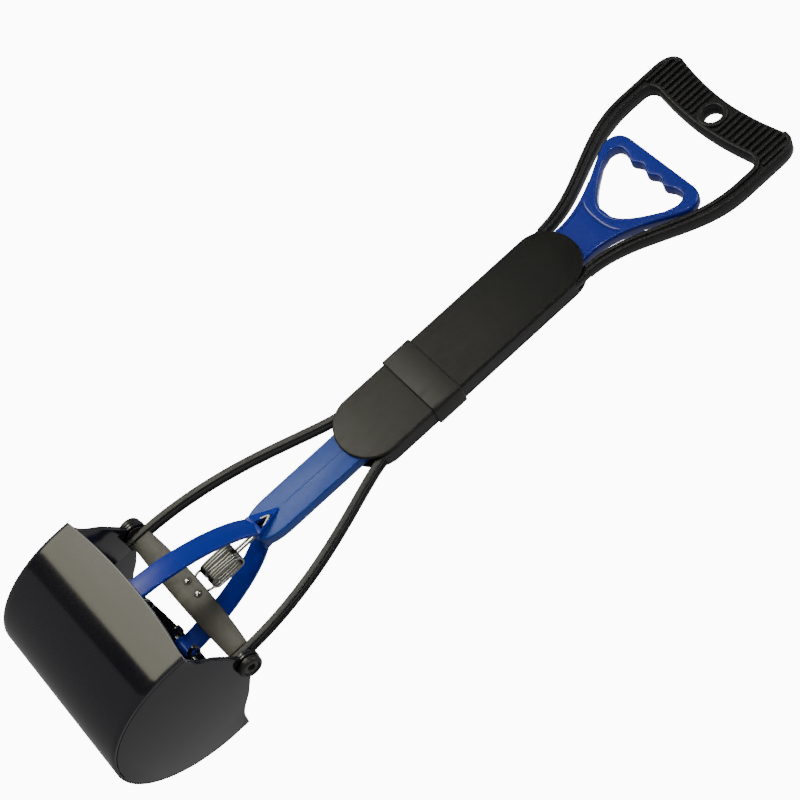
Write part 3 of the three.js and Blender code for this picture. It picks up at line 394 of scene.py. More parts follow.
upperPaint = finishOf("upper_cover_plastic", upperLook)
# the lower cover and collar finish holds that painted sheen in its lighter base
lowerSheenPaint = finishOf("lower_cover_plastic_painted_sheen", lowerSheenLook)
gripPaint = finishOf("grip_plastic", gripLook)
casePaint = finishOf("case_plastic", caseLook)
bluePaint = finishOf("blue_nylon", blueLook)
handlePaint = finishOf("handle_nylon", handleLook)
# the rod's finish holds that painted sheen in its lighter blue
rodSheenPaint = finishOf("rod_nylon_painted_sheen", rodSheenLook)
shellPaint = finishOf("shell_gloss", shellLook)
strapPaint = finishOf("strap_steel", strapLook)
boltPaint = finishOf("bolt_black", boltLook)
brightPaint = finishOf("spring_steel", brightLook)
print("materials made")

# Grip with its rails: outline, opening, depths (front and rear), beads, hole and ribs
grip = dict(
    footX=26.9, footZ=318, corner=330, wide=62.5, railTop=444.5, kneeLow=375, kneeHigh=399.5, top=493,
    shoulder=50, drop=16.5, sag=6.5, dip=0.45, edge=2.0,
    openFoot=20.2, openRound=6, openLift=1, openWide=53.4, openTop=464.5, openShoulder=45, openDrop=9,
    openSag=4.5,
    thin=(5.2, 3.7), bulge=(5.6, 4.7), full=6, thinTop=345, fullFrom=424.5, web=1.5, barWeb=2.2, barRise=30,
    bead=1.9, innerBead=335, outerBead=331, beadEnd=49,
    hub=11, hubEdge=1.6, hole=7,
    ribs=10, pitch=4.9, ribStart=1.2, ribHalf=1.25, ribProbe=1.2, ribRound=1.3, ribEdge=1.1, ribGap=1.3,
    rim=2.2, ribLow=462, underBar=449.5, overBar=470,
)


def railDepth(z, face):  # from the middle to the front or rear of the rails and the bar
    g = grip
    side = 0 if face < 0 else 1
    t = share(z, g["thinTop"], g["fullFrom"] - g["thinTop"])
    return (1 - t) ** 2 * g["thin"][side] + 2 * t * (1 - t) * g["bulge"][side] + t * t * g["full"]


def gripOuter():
    g = grip
    foot, wide, low = g["footX"], g["wide"], g["top"] - g["sag"]
    return chain(
        [(0, g["footZ"]), (foot, g["footZ"]), (foot, g["corner"])],
        bez((foot, g["corner"]), (foot, g["kneeLow"]), (wide, g["kneeHigh"]), (wide, g["railTop"]), n=26),
        bez((wide, g["top"] - g["drop"]), (wide, g["top"]), (g["shoulder"], g["top"]), n=12),
        bez((g["shoulder"], g["top"]), (g["shoulder"] * g["dip"], low), (0, low), n=24),
    )


def gripOpening():
    g = grip
    foot, wide, low, z = g["openFoot"], g["openWide"], g["openTop"] - g["openSag"], g["corner"]
    r, shoulder = g["openRound"], g["openShoulder"]
    kneeLow, kneeHigh = g["kneeLow"] + g["openLift"], g["kneeHigh"] + g["openLift"]
    return chain(
        [(0, z), (foot - r, z)],
        bez((foot - r, z), (foot, z), (foot, z + r), n=5),
        bez((foot, z + r), (foot, kneeLow), (wide, kneeHigh), (wide, g["railTop"]), n=24),
        bez((wide, g["openTop"] - g["openDrop"]), (wide, g["openTop"]), (shoulder, g["openTop"]), n=8),
        bez((shoulder, g["openTop"]), (shoulder * g["dip"], low), (0, low), n=16),
    )


def heightAt(run, x, floor):
    return min((p for p in run if p.y > floor), key=lambda p: abs(p.x - abs(x))).y


def gripRibs(outer, opening):
    g = grip
    parts = []
    for way in (-1, 1):
        for i in range(g["ribs"]):
            x = g["hole"] + g["pitch"] * (i + g["ribStart"])
            low = max(heightAt(opening, x, g["underBar"]), g["ribLow"]) + g["rim"]
            tops = [heightAt(outer, x + step, g["overBar"]) for step in (-g["ribProbe"], g["ribProbe"])]
            high = min(tops) - g["ribGap"]
            a, b = way * (x - g["ribHalf"]), way * (x + g["ribHalf"])
            bar = rounded([(a, low), (b, low), (b, high), (a, high)], g["ribRound"])
            parts.append(plate([bar], -g["full"], g["full"], g["ribEdge"], steps=4))
    return parts


def gripMesh():
    g = grip
    full, bead = g["full"], g["bead"]
    outer, opening = gripOuter(), gripOpening()
    hub, hole = circle(g["hub"], n=48, z=hang), circle(g["hole"], n=48, z=hang)
    body = plate([mirrored(outer), mirrored(opening), hole], -full, full, g["edge"], steps=5)
    for v in body.verts:
        web = g["web"] + share(v.co.z, g["fullFrom"], g["barRise"]) * (g["barWeb"] - g["web"])
        v.co.y *= (railDepth(v.co.z, v.co.y) - web) / full
    parts = [body, plate([hub, hole], -full, full, g["hubEdge"], steps=4)]
    inner = mirrored(offset([p for p in opening if p.y > g["innerBead"]], -bead))
    outside = [p for p in outer if p.y > g["outerBead"] and (p.x > g["beadEnd"] or p.y < g["railTop"])]
    side = offset(outside, bead)
    for face in (-1, 1):
        for run in (inner, side, [Vector((-p.x, p.y)) for p in side]):
            path = [(p.x, face * (railDepth(p.y, face) - bead), p.y) for p in run]
            parts.append(tube(path, bead))
    return joined(*parts, *gripRibs(outer, opening))


piece("grip", gripMesh(), "upper_frame", "upper_frame", gripPaint)
print("grip made")

# Housing halves: cover, tray and back
housing = dict(
    wide=27.2, front=-7.3, seat=-4.8, back=7.3, plate=2.2, fold=206, foldY=5, gap=0.15, round=24, edge=1.5,
    rod=14.9, floor=4.8, brim=-4.85, corner=1.5, trayRound=6, lap=0.1, backEdge=0.9, backShrink=0.1,
    window=13, lean=math.radians(11.5), knuckle=2.2, knuckleEdge=0.3, bore=1.3,
    ramp=((3.2, 0.15), (5, 0.15), (6, 5), (4, 10), (3.2, 10)),  # Y and distance from the fold
    screwX=20.8, screwZ=dict(low=238, high=310, lower=164), screwWell=3.1,
)
upper = housing["fold"] + housing["gap"]
lower = housing["fold"] - housing["gap"]
halves = dict(
    upper=dict(way=1, end=upper, straight=114, sill=246.4, tray=326, screws=("low", "high"),
               knuckles=both(14.9, 18.6) + both(22.6, 27.2), paint=upperPaint),
    lower=dict(way=-1, end=lower, straight=45, sill=195.6, tray=150, screws=("lower",),
               knuckles=both(18.9, 22.3), paint=lowerSheenPaint),
)


def coverOutline(half, shrink=0.0):
    h = housing
    wide, tall = h["wide"] - shrink, half["way"] * (h["round"] - shrink)
    start = h["fold"] + half["way"] * half["straight"]
    arc = [Vector((wide * math.cos(t), start + tall * math.sin(t))) for t in turns(math.pi, 40)]
    return [Vector((-wide, half["end"])), Vector((wide, half["end"]))] + arc


def traySection(inner):  # right half of the channel for the rod, in X and Y
    h = housing
    w, b, c, rod = h["wide"], h["back"] - h["plate"] + h["lap"], h["corner"], h["rod"]
    walls = [(w, h["brim"]), (rod, h["brim"]), (rod, h["floor"]), (inner, h["floor"])]
    return chain([(inner, b), (w - c, b)], bez((w - c, b), (w, b), (w, b - c), n=5), walls)


def trayMesh(half):  # channel with a round outer end, up to the window
    h = housing
    section = mirrored(traySection(0))
    rings = []
    for turn in turns(quarter, 8):
        z = half["tray"] - half["way"] * (1 - math.cos(turn)) * h["trayRound"]
        limit = h["wide"] - h["trayRound"] * (1 - math.sin(turn))
        rings.append([(max(-limit, min(limit, p.x)), p.y, z) for p in section])
    rings.append([(p.x, p.y, half["sill"]) for p in section])
    return loft(rings)


def cheekMesh(half, side):  # wall beside the window for the rod's knuckles
    section = traySection(housing["window"])
    return loft([[(side * p.x, p.y, z) for p in section] for z in (half["end"], half["sill"])])


def backMesh(half):  # flat rear wall with the window and the screws' wells
    h = housing
    w, x, end, sill = h["window"], h["screwX"], half["end"], half["sill"]
    wells = [circle(h["screwWell"], x=at, z=h["screwZ"][key]) for at in (-x, x) for key in half["screws"]]
    notch = [Vector(p) for p in ((-w, end), (-w, sill), (w, sill), (w, end))]
    first, *rest = coverOutline(half, h["backShrink"])
    return plate([[first, *notch, *rest], *wells], h["back"] - h["plate"], h["back"], h["backEdge"])


def knuckles(spans):  # barrels on the fold's axis
    h = housing
    made = [barrel(a, b, h["knuckle"], h["knuckleEdge"], h["bore"]) for a, b in spans]
    return [shift(bm, 0, h["foldY"], h["fold"]) for bm in made]


def ramps(way, spans):  # wedges that carry the rod's knuckles
    h = housing
    return [loft([[(x, y, h["fold"] + way * z) for y, z in h["ramp"]] for x in span]) for span in spans]


def leaned(bm, way):  # rear edge leans off the fold, as the halves swing back to back
    h = housing
    for v in bm.verts:
        reach = (v.co.y - h["foldY"]) / math.tan(h["lean"])
        if reach > 0 and way * (v.co.z - h["fold"]) < reach:
            v.co.z = h["fold"] + way * reach
    return bm


for label, half in halves.items():
    body = label + "_frame"
    cover = plate([coverOutline(half)], housing["front"], housing["seat"], housing["edge"], steps=4)
    piece(label + "_cover_shell", cover, body, label + "_cover", half["paint"])
    cheeks = [cheekMesh(half, side) for side in (-1, 1)]
    case = joined(trayMesh(half), *cheeks, backMesh(half), *knuckles(half["knuckles"]))
    piece(label + "_case", leaned(case, half["way"]), body, body, casePaint)
print("housing made")

# Collar over the fold
collar = dict(x=28.9, y=9.2, wall=1.4, low=196.2, high=220.1, corner=3.2, edge=1.1, lip=0.3)


def collarMesh():
    c = collar
    e, wall = c["edge"], c["wall"]
    arc = turns(quarter, 4)
    section = [(e * (1 - math.cos(t)), c["high"] - e + e * math.sin(t)) for t in arc]
    section += [(wall, c["high"] - c["lip"]), (wall, c["low"] + c["lip"])]
    section += [(e * (1 - math.cos(t)), c["low"] + e - e * math.sin(t)) for t in reversed(arc)]
    rings = []
    for depth, z in section:
        x, y = c["x"] - depth, c["y"] - depth
        ring = rounded([(-x, -y), (x, -y), (x, y), (-x, y)], c["corner"] - depth, n=6)
        rings.append([(p.x, p.y, z) for p in ring])
    return loft(rings, closed=True)


piece("collar_sleeve", collarMesh(), "collar", "lock_collar", lowerSheenPaint)

# Legs, with a groove along both faces that fades out above the bolt
leg = dict(
    run=((24, 152), (29.6, 124.6), (61, 73), (61, 0)), straight=-4, foot=-8.6, toe=0.6, half=2.6, deep=4.1,
    corner=1.4, groove=1.2, grooveHalf=1.8, grooveLip=0.5, grooveFrom=2, grooveRise=8, innerGroove=0.5,
)


def legMesh(side):
    g = leg
    q, lip = g["grooveHalf"], g["grooveHalf"] - g["grooveLip"]
    run = bez(*g["run"], n=44)
    run += [Vector((run[-1].x, z)) for z in (g["straight"], g["foot"] + g["toe"], g["foot"])]
    rings = []
    for p, along in zip(run, headings(run)):
        dip = g["groove"] * share(p.y, g["grooveFrom"], g["grooveRise"])
        h, d = (v - (g["toe"] if p is run[-1] else 0) for v in (g["half"], g["deep"]))
        outer, inner = h - dip, dip * g["innerGroove"] - h
        section = [(-h, -d), (h, -d), (h, -q), (outer, -lip), (outer, lip), (h, q)]
        section += [(h, d), (-h, d), (-h, q), (inner, lip), (inner, -lip), (-h, -q)]
        section = rounded(section, g["corner"], n=3)
        rings.append([(side * (p.x - along.y * s.x), s.y, p.y + along.x * s.x) for s in section])
    return loft(rings)


for side, label in sides:
    piece("leg_" + label, legMesh(side), "lower_frame", "lower_frame", gripPaint)
print("legs made")

# Pull handle: side, blade, the lip under the opening, the rim and the rod's knuckles
pull = dict(
    half=44, top=425.5, corner=30, side=412, kneeLow=375, kneeHigh=400, knee=41.6, deep=4.6, edge=2.6,
    blade=16.5, bladeTop=345, start=333, rod=14.5, neck=4, panel=3.4, panelTop=375, panelEdge=0.7,
    ringFrom=374, lip=364.5, lipShare=0.55, lipIn=3.2, lipUp=2.5,
    rim=1.5, proud=0.1, rimTop=384, rimLow=2.8, rimFrom=350, rimRise=26, knuckle=(5.3, 12),
)
fingers = dict(
    bottom=373, sideX=31.3, side=399, rise=386, near=13.1, far=21.9, half=34.5, wide=407.5, height=414.1,
    depth=1.5, pitch=16.5, last=24.75, bend=1.6,
)


def handleSide():
    p = pull
    blade, side = p["blade"], (p["half"], p["side"])
    return chain(
        [(blade, p["start"]), (blade, p["bladeTop"])],
        bez((blade, p["bladeTop"]), (blade, p["kneeLow"]), (p["knee"], p["kneeHigh"]), side, n=26),
        bez(side, (p["half"], p["top"]), (p["corner"], p["top"]), n=14),
        [(0, p["top"])],
    )


def fingerHalf():  # right half of the opening, with the finger lobes on top
    f = fingers
    hollow = f["height"] + f["depth"]
    steps = turns(f["last"], 26)[-2::-1]
    return chain(
        bez((0, f["bottom"]), (f["near"], f["bottom"]), (f["far"], f["rise"]), (f["sideX"], f["side"]), n=16),
        [(f["half"], f["wide"])],
        bez((f["half"], f["wide"]), (f["half"], hollow + f["depth"] * f["bend"]), (f["last"], hollow), n=8),
        [(x, f["height"] - f["depth"] * math.cos(2 * math.pi * x / f["pitch"])) for x in steps],
    )


def handleMesh():
    p = pull
    deep, rim, lip, panel = p["deep"], p["rim"], p["lip"], p["panel"]
    side, opening = handleSide(), mirrored(fingerHalf())
    upperSide = [q for q in side if q.y > p["ringFrom"]]
    foot = upperSide[0]
    arc = bez((0, lip), (foot.x * p["lipShare"], lip), (foot.x - p["lipIn"], lip + p["lipUp"]), foot)
    ring = plate([mirrored(chain(arc, upperSide)), opening], -deep, deep, p["edge"], steps=6)
    blade = [(0, upper), (p["rod"], upper), (p["rod"], p["start"] - p["neck"])]
    blade += [q for q in side if q.y < p["panelTop"]]
    web = plate([mirrored(chain(blade, [(0, blade[-1].y)]))], -panel, panel, p["panelEdge"])
    sideRim = offset([q for q in side if q.y < p["rimTop"]], rim)
    openRim = offset(opening + opening[:2], -rim)[1:-1]
    low, top = p["rimLow"], deep + p["proud"] - rim
    depths = [low + (top - low) * share(q.y, p["rimFrom"], p["rimRise"]) for q in sideRim]
    parts = [ring, web]
    for face in (-1, 1):
        for way in (-1, 1):
            parts.append(tube([(way * q.x, face * y, q.y) for q, y in zip(sideRim, depths)], rim))
        parts.append(tube([(q.x, face * top, q.y) for q in openRim], rim, closed=True))
    spans = both(*p["knuckle"])
    return joined(*parts, *knuckles(spans), *ramps(1, spans))


piece("handle", handleMesh(), "upper_rod", "pull_handle", handlePaint)

# Lower rod, with the raised line on its front
rod = dict(
    half=14.5, deep=4.4, edge=0.9, end=58, round=21, endHalf=8, swell=62.2, knuckle=(-5, 5),
    window=((-5, 62.5), (5, 62.5), (0, 78)), windowRound=0.8, line=0.35, lineSunk=0.2,
    lineRun=(86, 100, 120, 140, 160),
)


def rodMesh():
    r = rod
    deep, half = r["deep"], r["half"]
    corner = bez((half, r["end"] + r["round"]), (half, r["swell"]), (r["endHalf"], r["end"]), n=12)
    outline = mirrored(chain([(0, lower), (half, lower)], corner, [(0, r["end"])]))
    body = plate([outline, rounded(r["window"], r["windowRound"], n=3)], -deep, deep, r["edge"])
    line = tube([(0, r["lineSunk"] - deep, z) for z in r["lineRun"]], r["line"], steps=8)
    return joined(body, line, *knuckles([r["knuckle"]]), *ramps(-1, [r["knuckle"]]))


piece("rod", rodMesh(), "lower_rod", "lower_rod", rodSheenPaint)

# Arms: strip, pointed root on the rod, and the eye at the foot
arm = dict(
    run=((6.2, 62), (22.7, 51.4), (41.8, 15), (44.5, -26)), steps=40, half=8, thick=1.75, corner=0.9,
    crown=0.5, crownSwell=1.6, ridge=0.3,
    face=4.7, apex=81, apexHalf=0.5, root=62, heel=57, reach=4.9, rootThin=0.5, rootRound=1, rootSharp=0.6,
    rootEdge=0.35, window=((-1.4, 63.2), (6.4, 63.2), (1.8, 75.8)), windowRound=0.8,
    footY=44.5, footZ=-26, eye=3.4, eyeHalf=8.8, eyeEdge=0.4, eyeBore=1.8,
)


def armStrip(side):
    a = arm
    h, t = a["half"], a["thick"]
    run = bez(*a["run"], n=a["steps"])
    rings = []
    for i, (p, along) in enumerate(zip(run, headings(run))):
        crown = a["crown"] * (1 + a["crownSwell"] * (1 - i / a["steps"]) ** 3)
        inner = [(-h, -t), (0, -t), (h, -t)]
        outer = [(h, t - crown), (0, t + crown * a["ridge"]), (-h, t - crown)]
        section = rounded(inner + outer, a["corner"], n=3)
        out = Vector((-along.y, along.x))
        out = out if out.x > 0 else -out
        rings.append([(q.x, side * (p.x + out.x * q.y), p.y + out.y * q.y) for q in section])
    return loft(rings)


def armRoot(side):  # the front one has a window
    a = arm
    h, tip, heel, base, apex = a["half"], a["apexHalf"], a["heel"], a["root"], a["apex"]
    outline = [(-h, heel), (h, heel), (h, base), (tip, apex), (-tip, apex), (-h, base)]
    loops = [rounded(outline, a["rootRound"], n=3)]
    loops += [rounded(a["window"], a["windowRound"], n=3)] if side < 0 else []
    root = plate(loops, 0, 1)
    for v in root.verts:
        swell = share(apex - v.co.z, 0, apex - base)
        v.co.y = side * (a["face"] + v.co.y * (a["rootThin"] + a["reach"] * swell))
    return bevelled(skinned(root), a["rootSharp"], a["rootEdge"])


def armMesh(side):
    a = arm
    eye = barrel(-a["eyeHalf"], a["eyeHalf"], a["eye"], a["eyeEdge"], a["eyeBore"], steps=36)
    return joined(armStrip(side), armRoot(side), shift(eye, 0, side * a["footY"], a["footZ"]))


for side, label in ((-1, "front"), (1, "rear")):
    piece("arm_" + label, armMesh(side), "lower_rod", label + "_arm", bluePaint)
print("blue parts made")

# Jaw shells: curved panel, side walls with their ears, and lugs for the arms' pins
jaw = dict(
    wide=69, deep=54, straight=36, round=70, wall=2, top=20, rows=(-20, -20.9, -24, -28, -32), strips=24,
    sideDrop=5.5, split=0.25, middle=-50, rimSharp=1.2, rimEdge=0.4,
    capTop=((38.88, -25.5), (33.48, -16.83), (27, -12.24)), capTip=6.36, capInset=(1, 2.5), capEdge=0.35,
    caps=dict(front=(65.1, 66.9, 10), rear=(67.2, 69, 99)),  # stretch of X, and reach beyond the middle
    ear=9, earBore=2.7,
)
lug = dict(
    span=(9.2, 11.2), near=43.5, round=5.2, slot=2.6, slotEnd=52, end=56, top=-18.4, limit=53.2, edge=0.3,
)


def shellArc(side, inset):
    j = jaw
    wide, tall = side * (j["deep"] - inset), j["round"] - inset
    return [Vector((wide * math.cos(t), -j["straight"] - tall * math.sin(t))) for t in turns(quarter, 32)]


def panelMesh(side):
    j = jaw
    bm = bmesh.new()
    profile = [Vector((side * j["deep"], z)) for z in j["rows"]] + shellArc(side, 0)
    verts = [bm.verts.new((-j["wide"], p.x, p.y)) for p in profile]
    edges = [bm.edges.new(pair) for pair in zip(verts, verts[1:])]
    for _ in range(j["strips"]):
        made = bmesh.ops.extrude_edge_only(bm, edges=edges)["geom"]
        edges = only(bmesh.types.BMEdge, made)
        moved = only(bmesh.types.BMVert, made)
        bmesh.ops.translate(bm, verts=moved, vec=(2 * j["wide"] / j["strips"], 0, 0))
    for v in bm.verts:  # the upper edge falls off to its ends
        fall = max(0, (j["straight"] + v.co.z) / (j["straight"] - j["top"]))
        v.co.z -= j["sideDrop"] * (v.co.x / j["wide"]) ** 2 * fall
    skinned(bm)
    middle = Vector((0, 0, j["middle"]))
    if sum((f.calc_center_median() - middle).dot(f.normal) for f in bm.faces) < 0:
        reversedFaces(bm)
    bmesh.ops.solidify(bm, geom=bm.faces[:], thickness=j["wall"])
    for v in bm.verts:
        v.co.y = side * max(j["split"], side * v.co.y)
    return bevelled(bm, j["rimSharp"], j["rimEdge"])


def capRun(way, inset):  # from the ear over the shoulder and down along the panel
    j = jaw
    level = j["capTop"][0][1]
    shoulder = bez((way * (j["deep"] - inset), level), *((way * y, z) for y, z in j["capTop"]), n=14)
    return [Vector((way * j["capTip"], 0))] + shoulder[::-1] + shellArc(way, inset)


def capMesh(side, start, end, reach):  # side wall with its ear
    j = jaw
    own, other = (capRun(way, inset) for way, inset in zip((side, -side), j["capInset"]))
    outline = [Vector((side * max(side * p.x, -reach), p.y)) for p in chain(own, reversed(other))]
    wall = upright(plate([chain(outline)], start, end, j["capEdge"]))
    return joined(wall, barrel(start, end, j["ear"], j["capEdge"], j["earBore"], steps=56))


def lugMesh(side, start, end):  # it leans along the line from the pivot to the arm's pin
    g = lug
    lean = math.atan2(arm["footZ"], arm["footY"])
    sine, cosine = math.sin(lean), math.cos(lean)
    arc = [quarter + t for t in turns(math.pi, 18)]

    def bow(x, radius):
        return [Vector((x + radius * math.cos(t), radius * math.sin(t))) for t in arc]

    def turned(run):
        places = ((p.x * cosine - p.y * sine, p.x * sine + p.y * cosine) for p in chain(run))
        return [Vector((side * y, min(g["top"], z))) for y, z in places]

    outer = bow(g["near"], g["round"]) + [Vector((g["end"], -g["round"])), Vector((g["end"], g["round"]))]
    slot = bow(g["near"], g["slot"]) + bow(g["slotEnd"], -g["slot"])
    bm = upright(plate([turned(outer), turned(slot)], start, end, g["edge"], steps=2))
    for v in bm.verts:
        v.co.y = side * min(g["limit"], side * v.co.y)
    return bm


for side, label in ((-1, "front"), (1, "rear")):
    *capSpan, reach = jaw["caps"][label]
    caps = [capMesh(side, *span, reach) for span in both(*capSpan)]
    lugs = [lugMesh(side, *span) for span in both(*lug["span"])]
    shell = joined(panelMesh(side), *caps, *lugs)
    piece("shell_" + label, shell, "jaw_" + label, label + "_shell", shellPaint)
print("shells made")

# Strap between the legs, with a tab at both ends and a raised ring round each hole
strap = dict(
    half=58.1, top=8.8, topMiddle=11.8, bottom=-6.3, bottomMiddle=-7.8, front=-3.4, back=-2.2, edge=0.5,
    holeX=6.4, holeZ=5.5, hole=1.1,
    tab=1.2, tabFront=-2.8, tabRear=5.6, tabRound=2.4, tabHole=2.7, tabEdge=0.25,
    ring=((0, 1.1), (0.25, 1.4), (0.5, 2.1), (0.35, 2.7), (0, 2.9), (-0.3, 2.9), (-0.3, 1.1), (0, 1.1)),
)


def strapMesh():
    s = strap
    end, low, high = s["half"], s["bottomMiddle"], s["topMiddle"]
    half = chain([(0, low)], bez((0, low), (end / 2, low), (end, s["bottom"]), n=12),
                 bez((end, s["top"]), (end / 2, high), (0, high), n=12))
    holes = [circle(s["hole"], n=20, x=way * s["holeX"], z=s["holeZ"]) for way in (-1, 1)]
    parts = [plate([mirrored(half), *holes], s["front"], s["back"], s["edge"])]
    a, b, z = s["tabFront"], s["tabRear"], s["bottom"]
    tab = [rounded([(a, z), (b, z), (b, -z), (a, -z)], s["tabRound"], n=5), circle(s["tabHole"], n=28)]
    for x in (end - s["tab"], -end):
        parts.append(shift(upright(plate(tab, 0, s["tab"], s["tabEdge"], steps=2)), x))
    for way in (-1, 1):
        ring = upright(lathe(s["ring"], steps=32))
        for v in ring.verts:
            v.co.y = -v.co.y
        parts.append(shift(reversedFaces(ring), way * s["holeX"], s["front"], s["holeZ"]))
    return joined(*parts)


piece("strap", strapMesh(), "lower_frame", "cross_plate", strapPaint)

# Bolts with a dished head and a hexagon socket, and washers
bolt = dict(
    profile=((55.7, 0), (55.7, 1.6), (56.5, 2.4), (69.3, 2.4), (69.3, 7.6), (69.8, 8.3), (70.4, 8.5),
             (72.2, 8.5), (73.3, 8.0), (73.9, 6.9), (74, 6.3), (73.5, 5.7), (72.8, 5.3), (72.8, 3.4)),
    dish=5.5, dishFloor=72.85, socket=3.2, socketRound=0.3, socketFloor=70.6, floor=5.3, floorHalf=0.1,
)
washer = dict(start=63.95, end=64.75, radius=7, edge=0.2, bore=2.7)


def boltMesh():
    b = bolt
    hexagon = rounded(circle(b["socket"], n=6), b["socketRound"], n=2)
    ring = upright(plate([circle(b["dish"], n=56), hexagon], b["socketFloor"], b["dishFloor"]))
    near, far = b["socketFloor"] - b["floorHalf"], b["socketFloor"] + b["floorHalf"]
    floor = lathe([(near, 0), (near, b["floor"]), (far, b["floor"]), (far, 0)])
    return joined(lathe(b["profile"], steps=64), ring, floor)


def washerMesh():
    w = washer
    return barrel(w["start"], w["end"], w["radius"], w["edge"], w["bore"], steps=56)


for side, label in sides:
    for kind, mesh in (("bolt_", boltMesh()), ("washer_", washerMesh())):
        name = kind + label
        piece(name, sided(mesh, side), "lower_frame", "pivot_" + name, boltPaint)

# Pins of the fold and of the arms
pins = dict(foldRadius=1.2, armRadius=1.5, edge=0.25, rod=(-11.7, 11.7), fold=(15.2, 26.9), arm=(-12.2, 12.2))
foldPin = (pins["foldRadius"], housing["foldY"], housing["fold"])
foldRight, foldLeft = both(*pins["fold"])
for node, body, span, (radius, y, z) in (
    ("rod_pin", "upper_rod", pins["rod"], foldPin),
    ("fold_pin_left", "upper_frame", foldLeft, foldPin),
    ("fold_pin_right", "upper_frame", foldRight, foldPin),
    ("front_arm_pin", "lower_rod", pins["arm"], (pins["armRadius"], -arm["footY"], arm["footZ"])),
    ("rear_arm_pin", "lower_rod", pins["arm"], (pins["armRadius"], arm["footY"], arm["footZ"])),
):
    pin = shift(barrel(*span, radius, pins["edge"]), 0, y, z)
    piece(node + "_round", pin, body, node, brightPaint)

# Screws of the covers, with a star socket of two radii
screw = dict(
    head=((5.4, 0), (5.4, 2.2), (5.6, 2.6), (6.5, 2.6), (6.9, 2.2), (7.0, 1.9), (7.0, 1.25)),
    shank=((-5.6, 0), (-5.4, 0.5), (-4.6, 1.2), (5.5, 1.2), (5.5, 0)),
    floor=((6.0, 0), (6.0, 1.35), (6.15, 1.35), (6.15, 0)),
    socket=1.35, socketFloor=6.1, socketTop=7.0, star=(0.75, 1.3), points=12,
)


def screwMesh(x, z):
    s = screw
    star = []
    for k, turn in enumerate(turns(2 * math.pi, s["points"])[:-1]):
        star.append(Vector((s["star"][k % 2], 0)))
        star[-1].rotate(Matrix.Rotation(turn, 2))
    ring = upright(plate([circle(s["socket"], n=36), star], s["socketFloor"], s["socketTop"]))
    head, floor, shank = lathe(s["head"], steps=36), lathe(s["floor"], steps=24), lathe(s["shank"], steps=20)
    return shift(upright(joined(head, ring, floor, shank)), x, 0, z)


for side, label in sides:
    for name, body, key, node in (
        ("lower_screw_", "lower_frame", "lower", "lower_cover_screw_"),
        ("low_screw_", "upper_frame", "low", "upper_cover_screw_low_"),
        ("high_screw_", "upper_frame", "high", "upper_cover_screw_high_"),
    ):
        mesh = screwMesh(side * housing["screwX"], housing["screwZ"][key])
        piece(name + label, mesh, body, node + label, boltPaint)
print("fasteners made")

# Spring: foot in the strap's hole, coil of flattened turns, neck, and the hook in the rod's window
spring = dict(
    wire=0.93, tall=12.4, deep=4.6, flank=0.5, turns=3.5, turnSteps=40, pitch=2.05, gap=0.6, height=29,
    skip=(3, 2),  # steps of the coil that its bends take over
    bend=1.6, bends=(0.4, 0.8, 1.2, 1.57), holeX=6.4, holeZ=5.5, foot=-5.1,
    rise=((0, 9), (-0.2, 11)), riseTop=12.5, neck=(45, 48, 51, 54, 57, 60),
    crook=((0, 62), (-1, 64), (-5, 64)),
    hook=((-1.6, -7.2, 64.9), (-1.9, -7.8, 66), (1.6, -7.8, 73.4), (5.0, -7.8, 65.6), (4.4, -7.2, 64.9)),
    hookRound=1.2, start=44, end=56,  # heights between which it stretches
)


def springCoil(stack):
    s = spring
    deep, height = s["deep"], s["height"]
    coil = []
    steps = int(s["turns"] * s["turnSteps"])
    for i in range(s["skip"][0], steps - s["skip"][1]):
        angle = i / steps * s["turns"] * 2 * math.pi - quarter
        rise = min(1, max(-1, math.sin(angle) / s["flank"])) * (s["tall"] - deep)
        x = i / steps * s["turns"] * s["pitch"] - stack
        coil.append(Vector((x, deep * math.cos(angle), height + rise + deep * math.sin(angle))))
    return coil


def springPath():
    s = spring
    b, x, z = s["bend"], s["holeX"], s["holeZ"]
    gap = s["pitch"] * s["gap"]
    stack = gap + s["turns"] * s["pitch"]
    low, high = s["height"] - s["tall"] - b, s["height"] + s["tall"] + b
    foot = [Vector((-x, s["foot"], z)), Vector((-x, -b, z))]
    foot += [Vector((-x, b * math.sin(t) - b, z + b - b * math.cos(t))) for t in s["bends"]]
    rise = [(step - x, 0, height) for step, height in s["rise"]]
    foot += bez(*rise, (-stack, 0, s["riseTop"]), (-stack, 0, low), n=8)
    foot += [Vector((-stack, b - b * math.cos(t), low + b * math.sin(t))) for t in s["bends"][:-1]]
    neck = [Vector((-gap, b - b * math.sin(t), high - b * math.cos(t))) for t in s["bends"][1:]]
    neck += [Vector((-gap, 0, height)) for height in s["neck"]]
    half = foot + springCoil(stack) + neck
    crook = [(gap, y, height) for y, height in s["crook"]]
    into = bez(*((-x, y, height) for x, y, height in crook), s["hook"][0], n=6)
    outOf = bez(s["hook"][-1], *crook[::-1], n=6)
    other = [Vector((-p.x, p.y, p.z)) for p in reversed(half)]
    return half + into + roundedRun(s["hook"], s["hookRound"])[1:] + outOf[1:] + other


ends = [(0, 0, (spring[k] - hang) * mm) for k in ("start", "end")]
wire = tube(springPath(), spring["wire"])
piece("spring_wire", wire, ("lower_frame", "lower_rod", *ends), "return_spring", brightPaint)
print("spring made")

# Camera at the photo's place, in metres and degrees
view = dict(place=(0.76382, -1.11467, -0.43622), turn=(99.43304, -47.3478, 27.51673), sensor=36, lens=93.081)
camera = bpy.data.objects.new("camera", bpy.data.cameras.new("camera"))
bpy.context.scene.collection.objects.link(camera)
camera.location = view["place"]
camera.rotation_euler = Euler([math.radians(a) for a in view["turn"]])
camera.data.sensor_width = view["sensor"]
camera.data.lens = view["lens"]
bpy.context.scene.camera = camera

# Floor, backdrop and lights, in metres and watts
room = dict(floor=-1.5, wide=12, shade=0.9, glow=11.0, rough=0.9, sky=0.27)
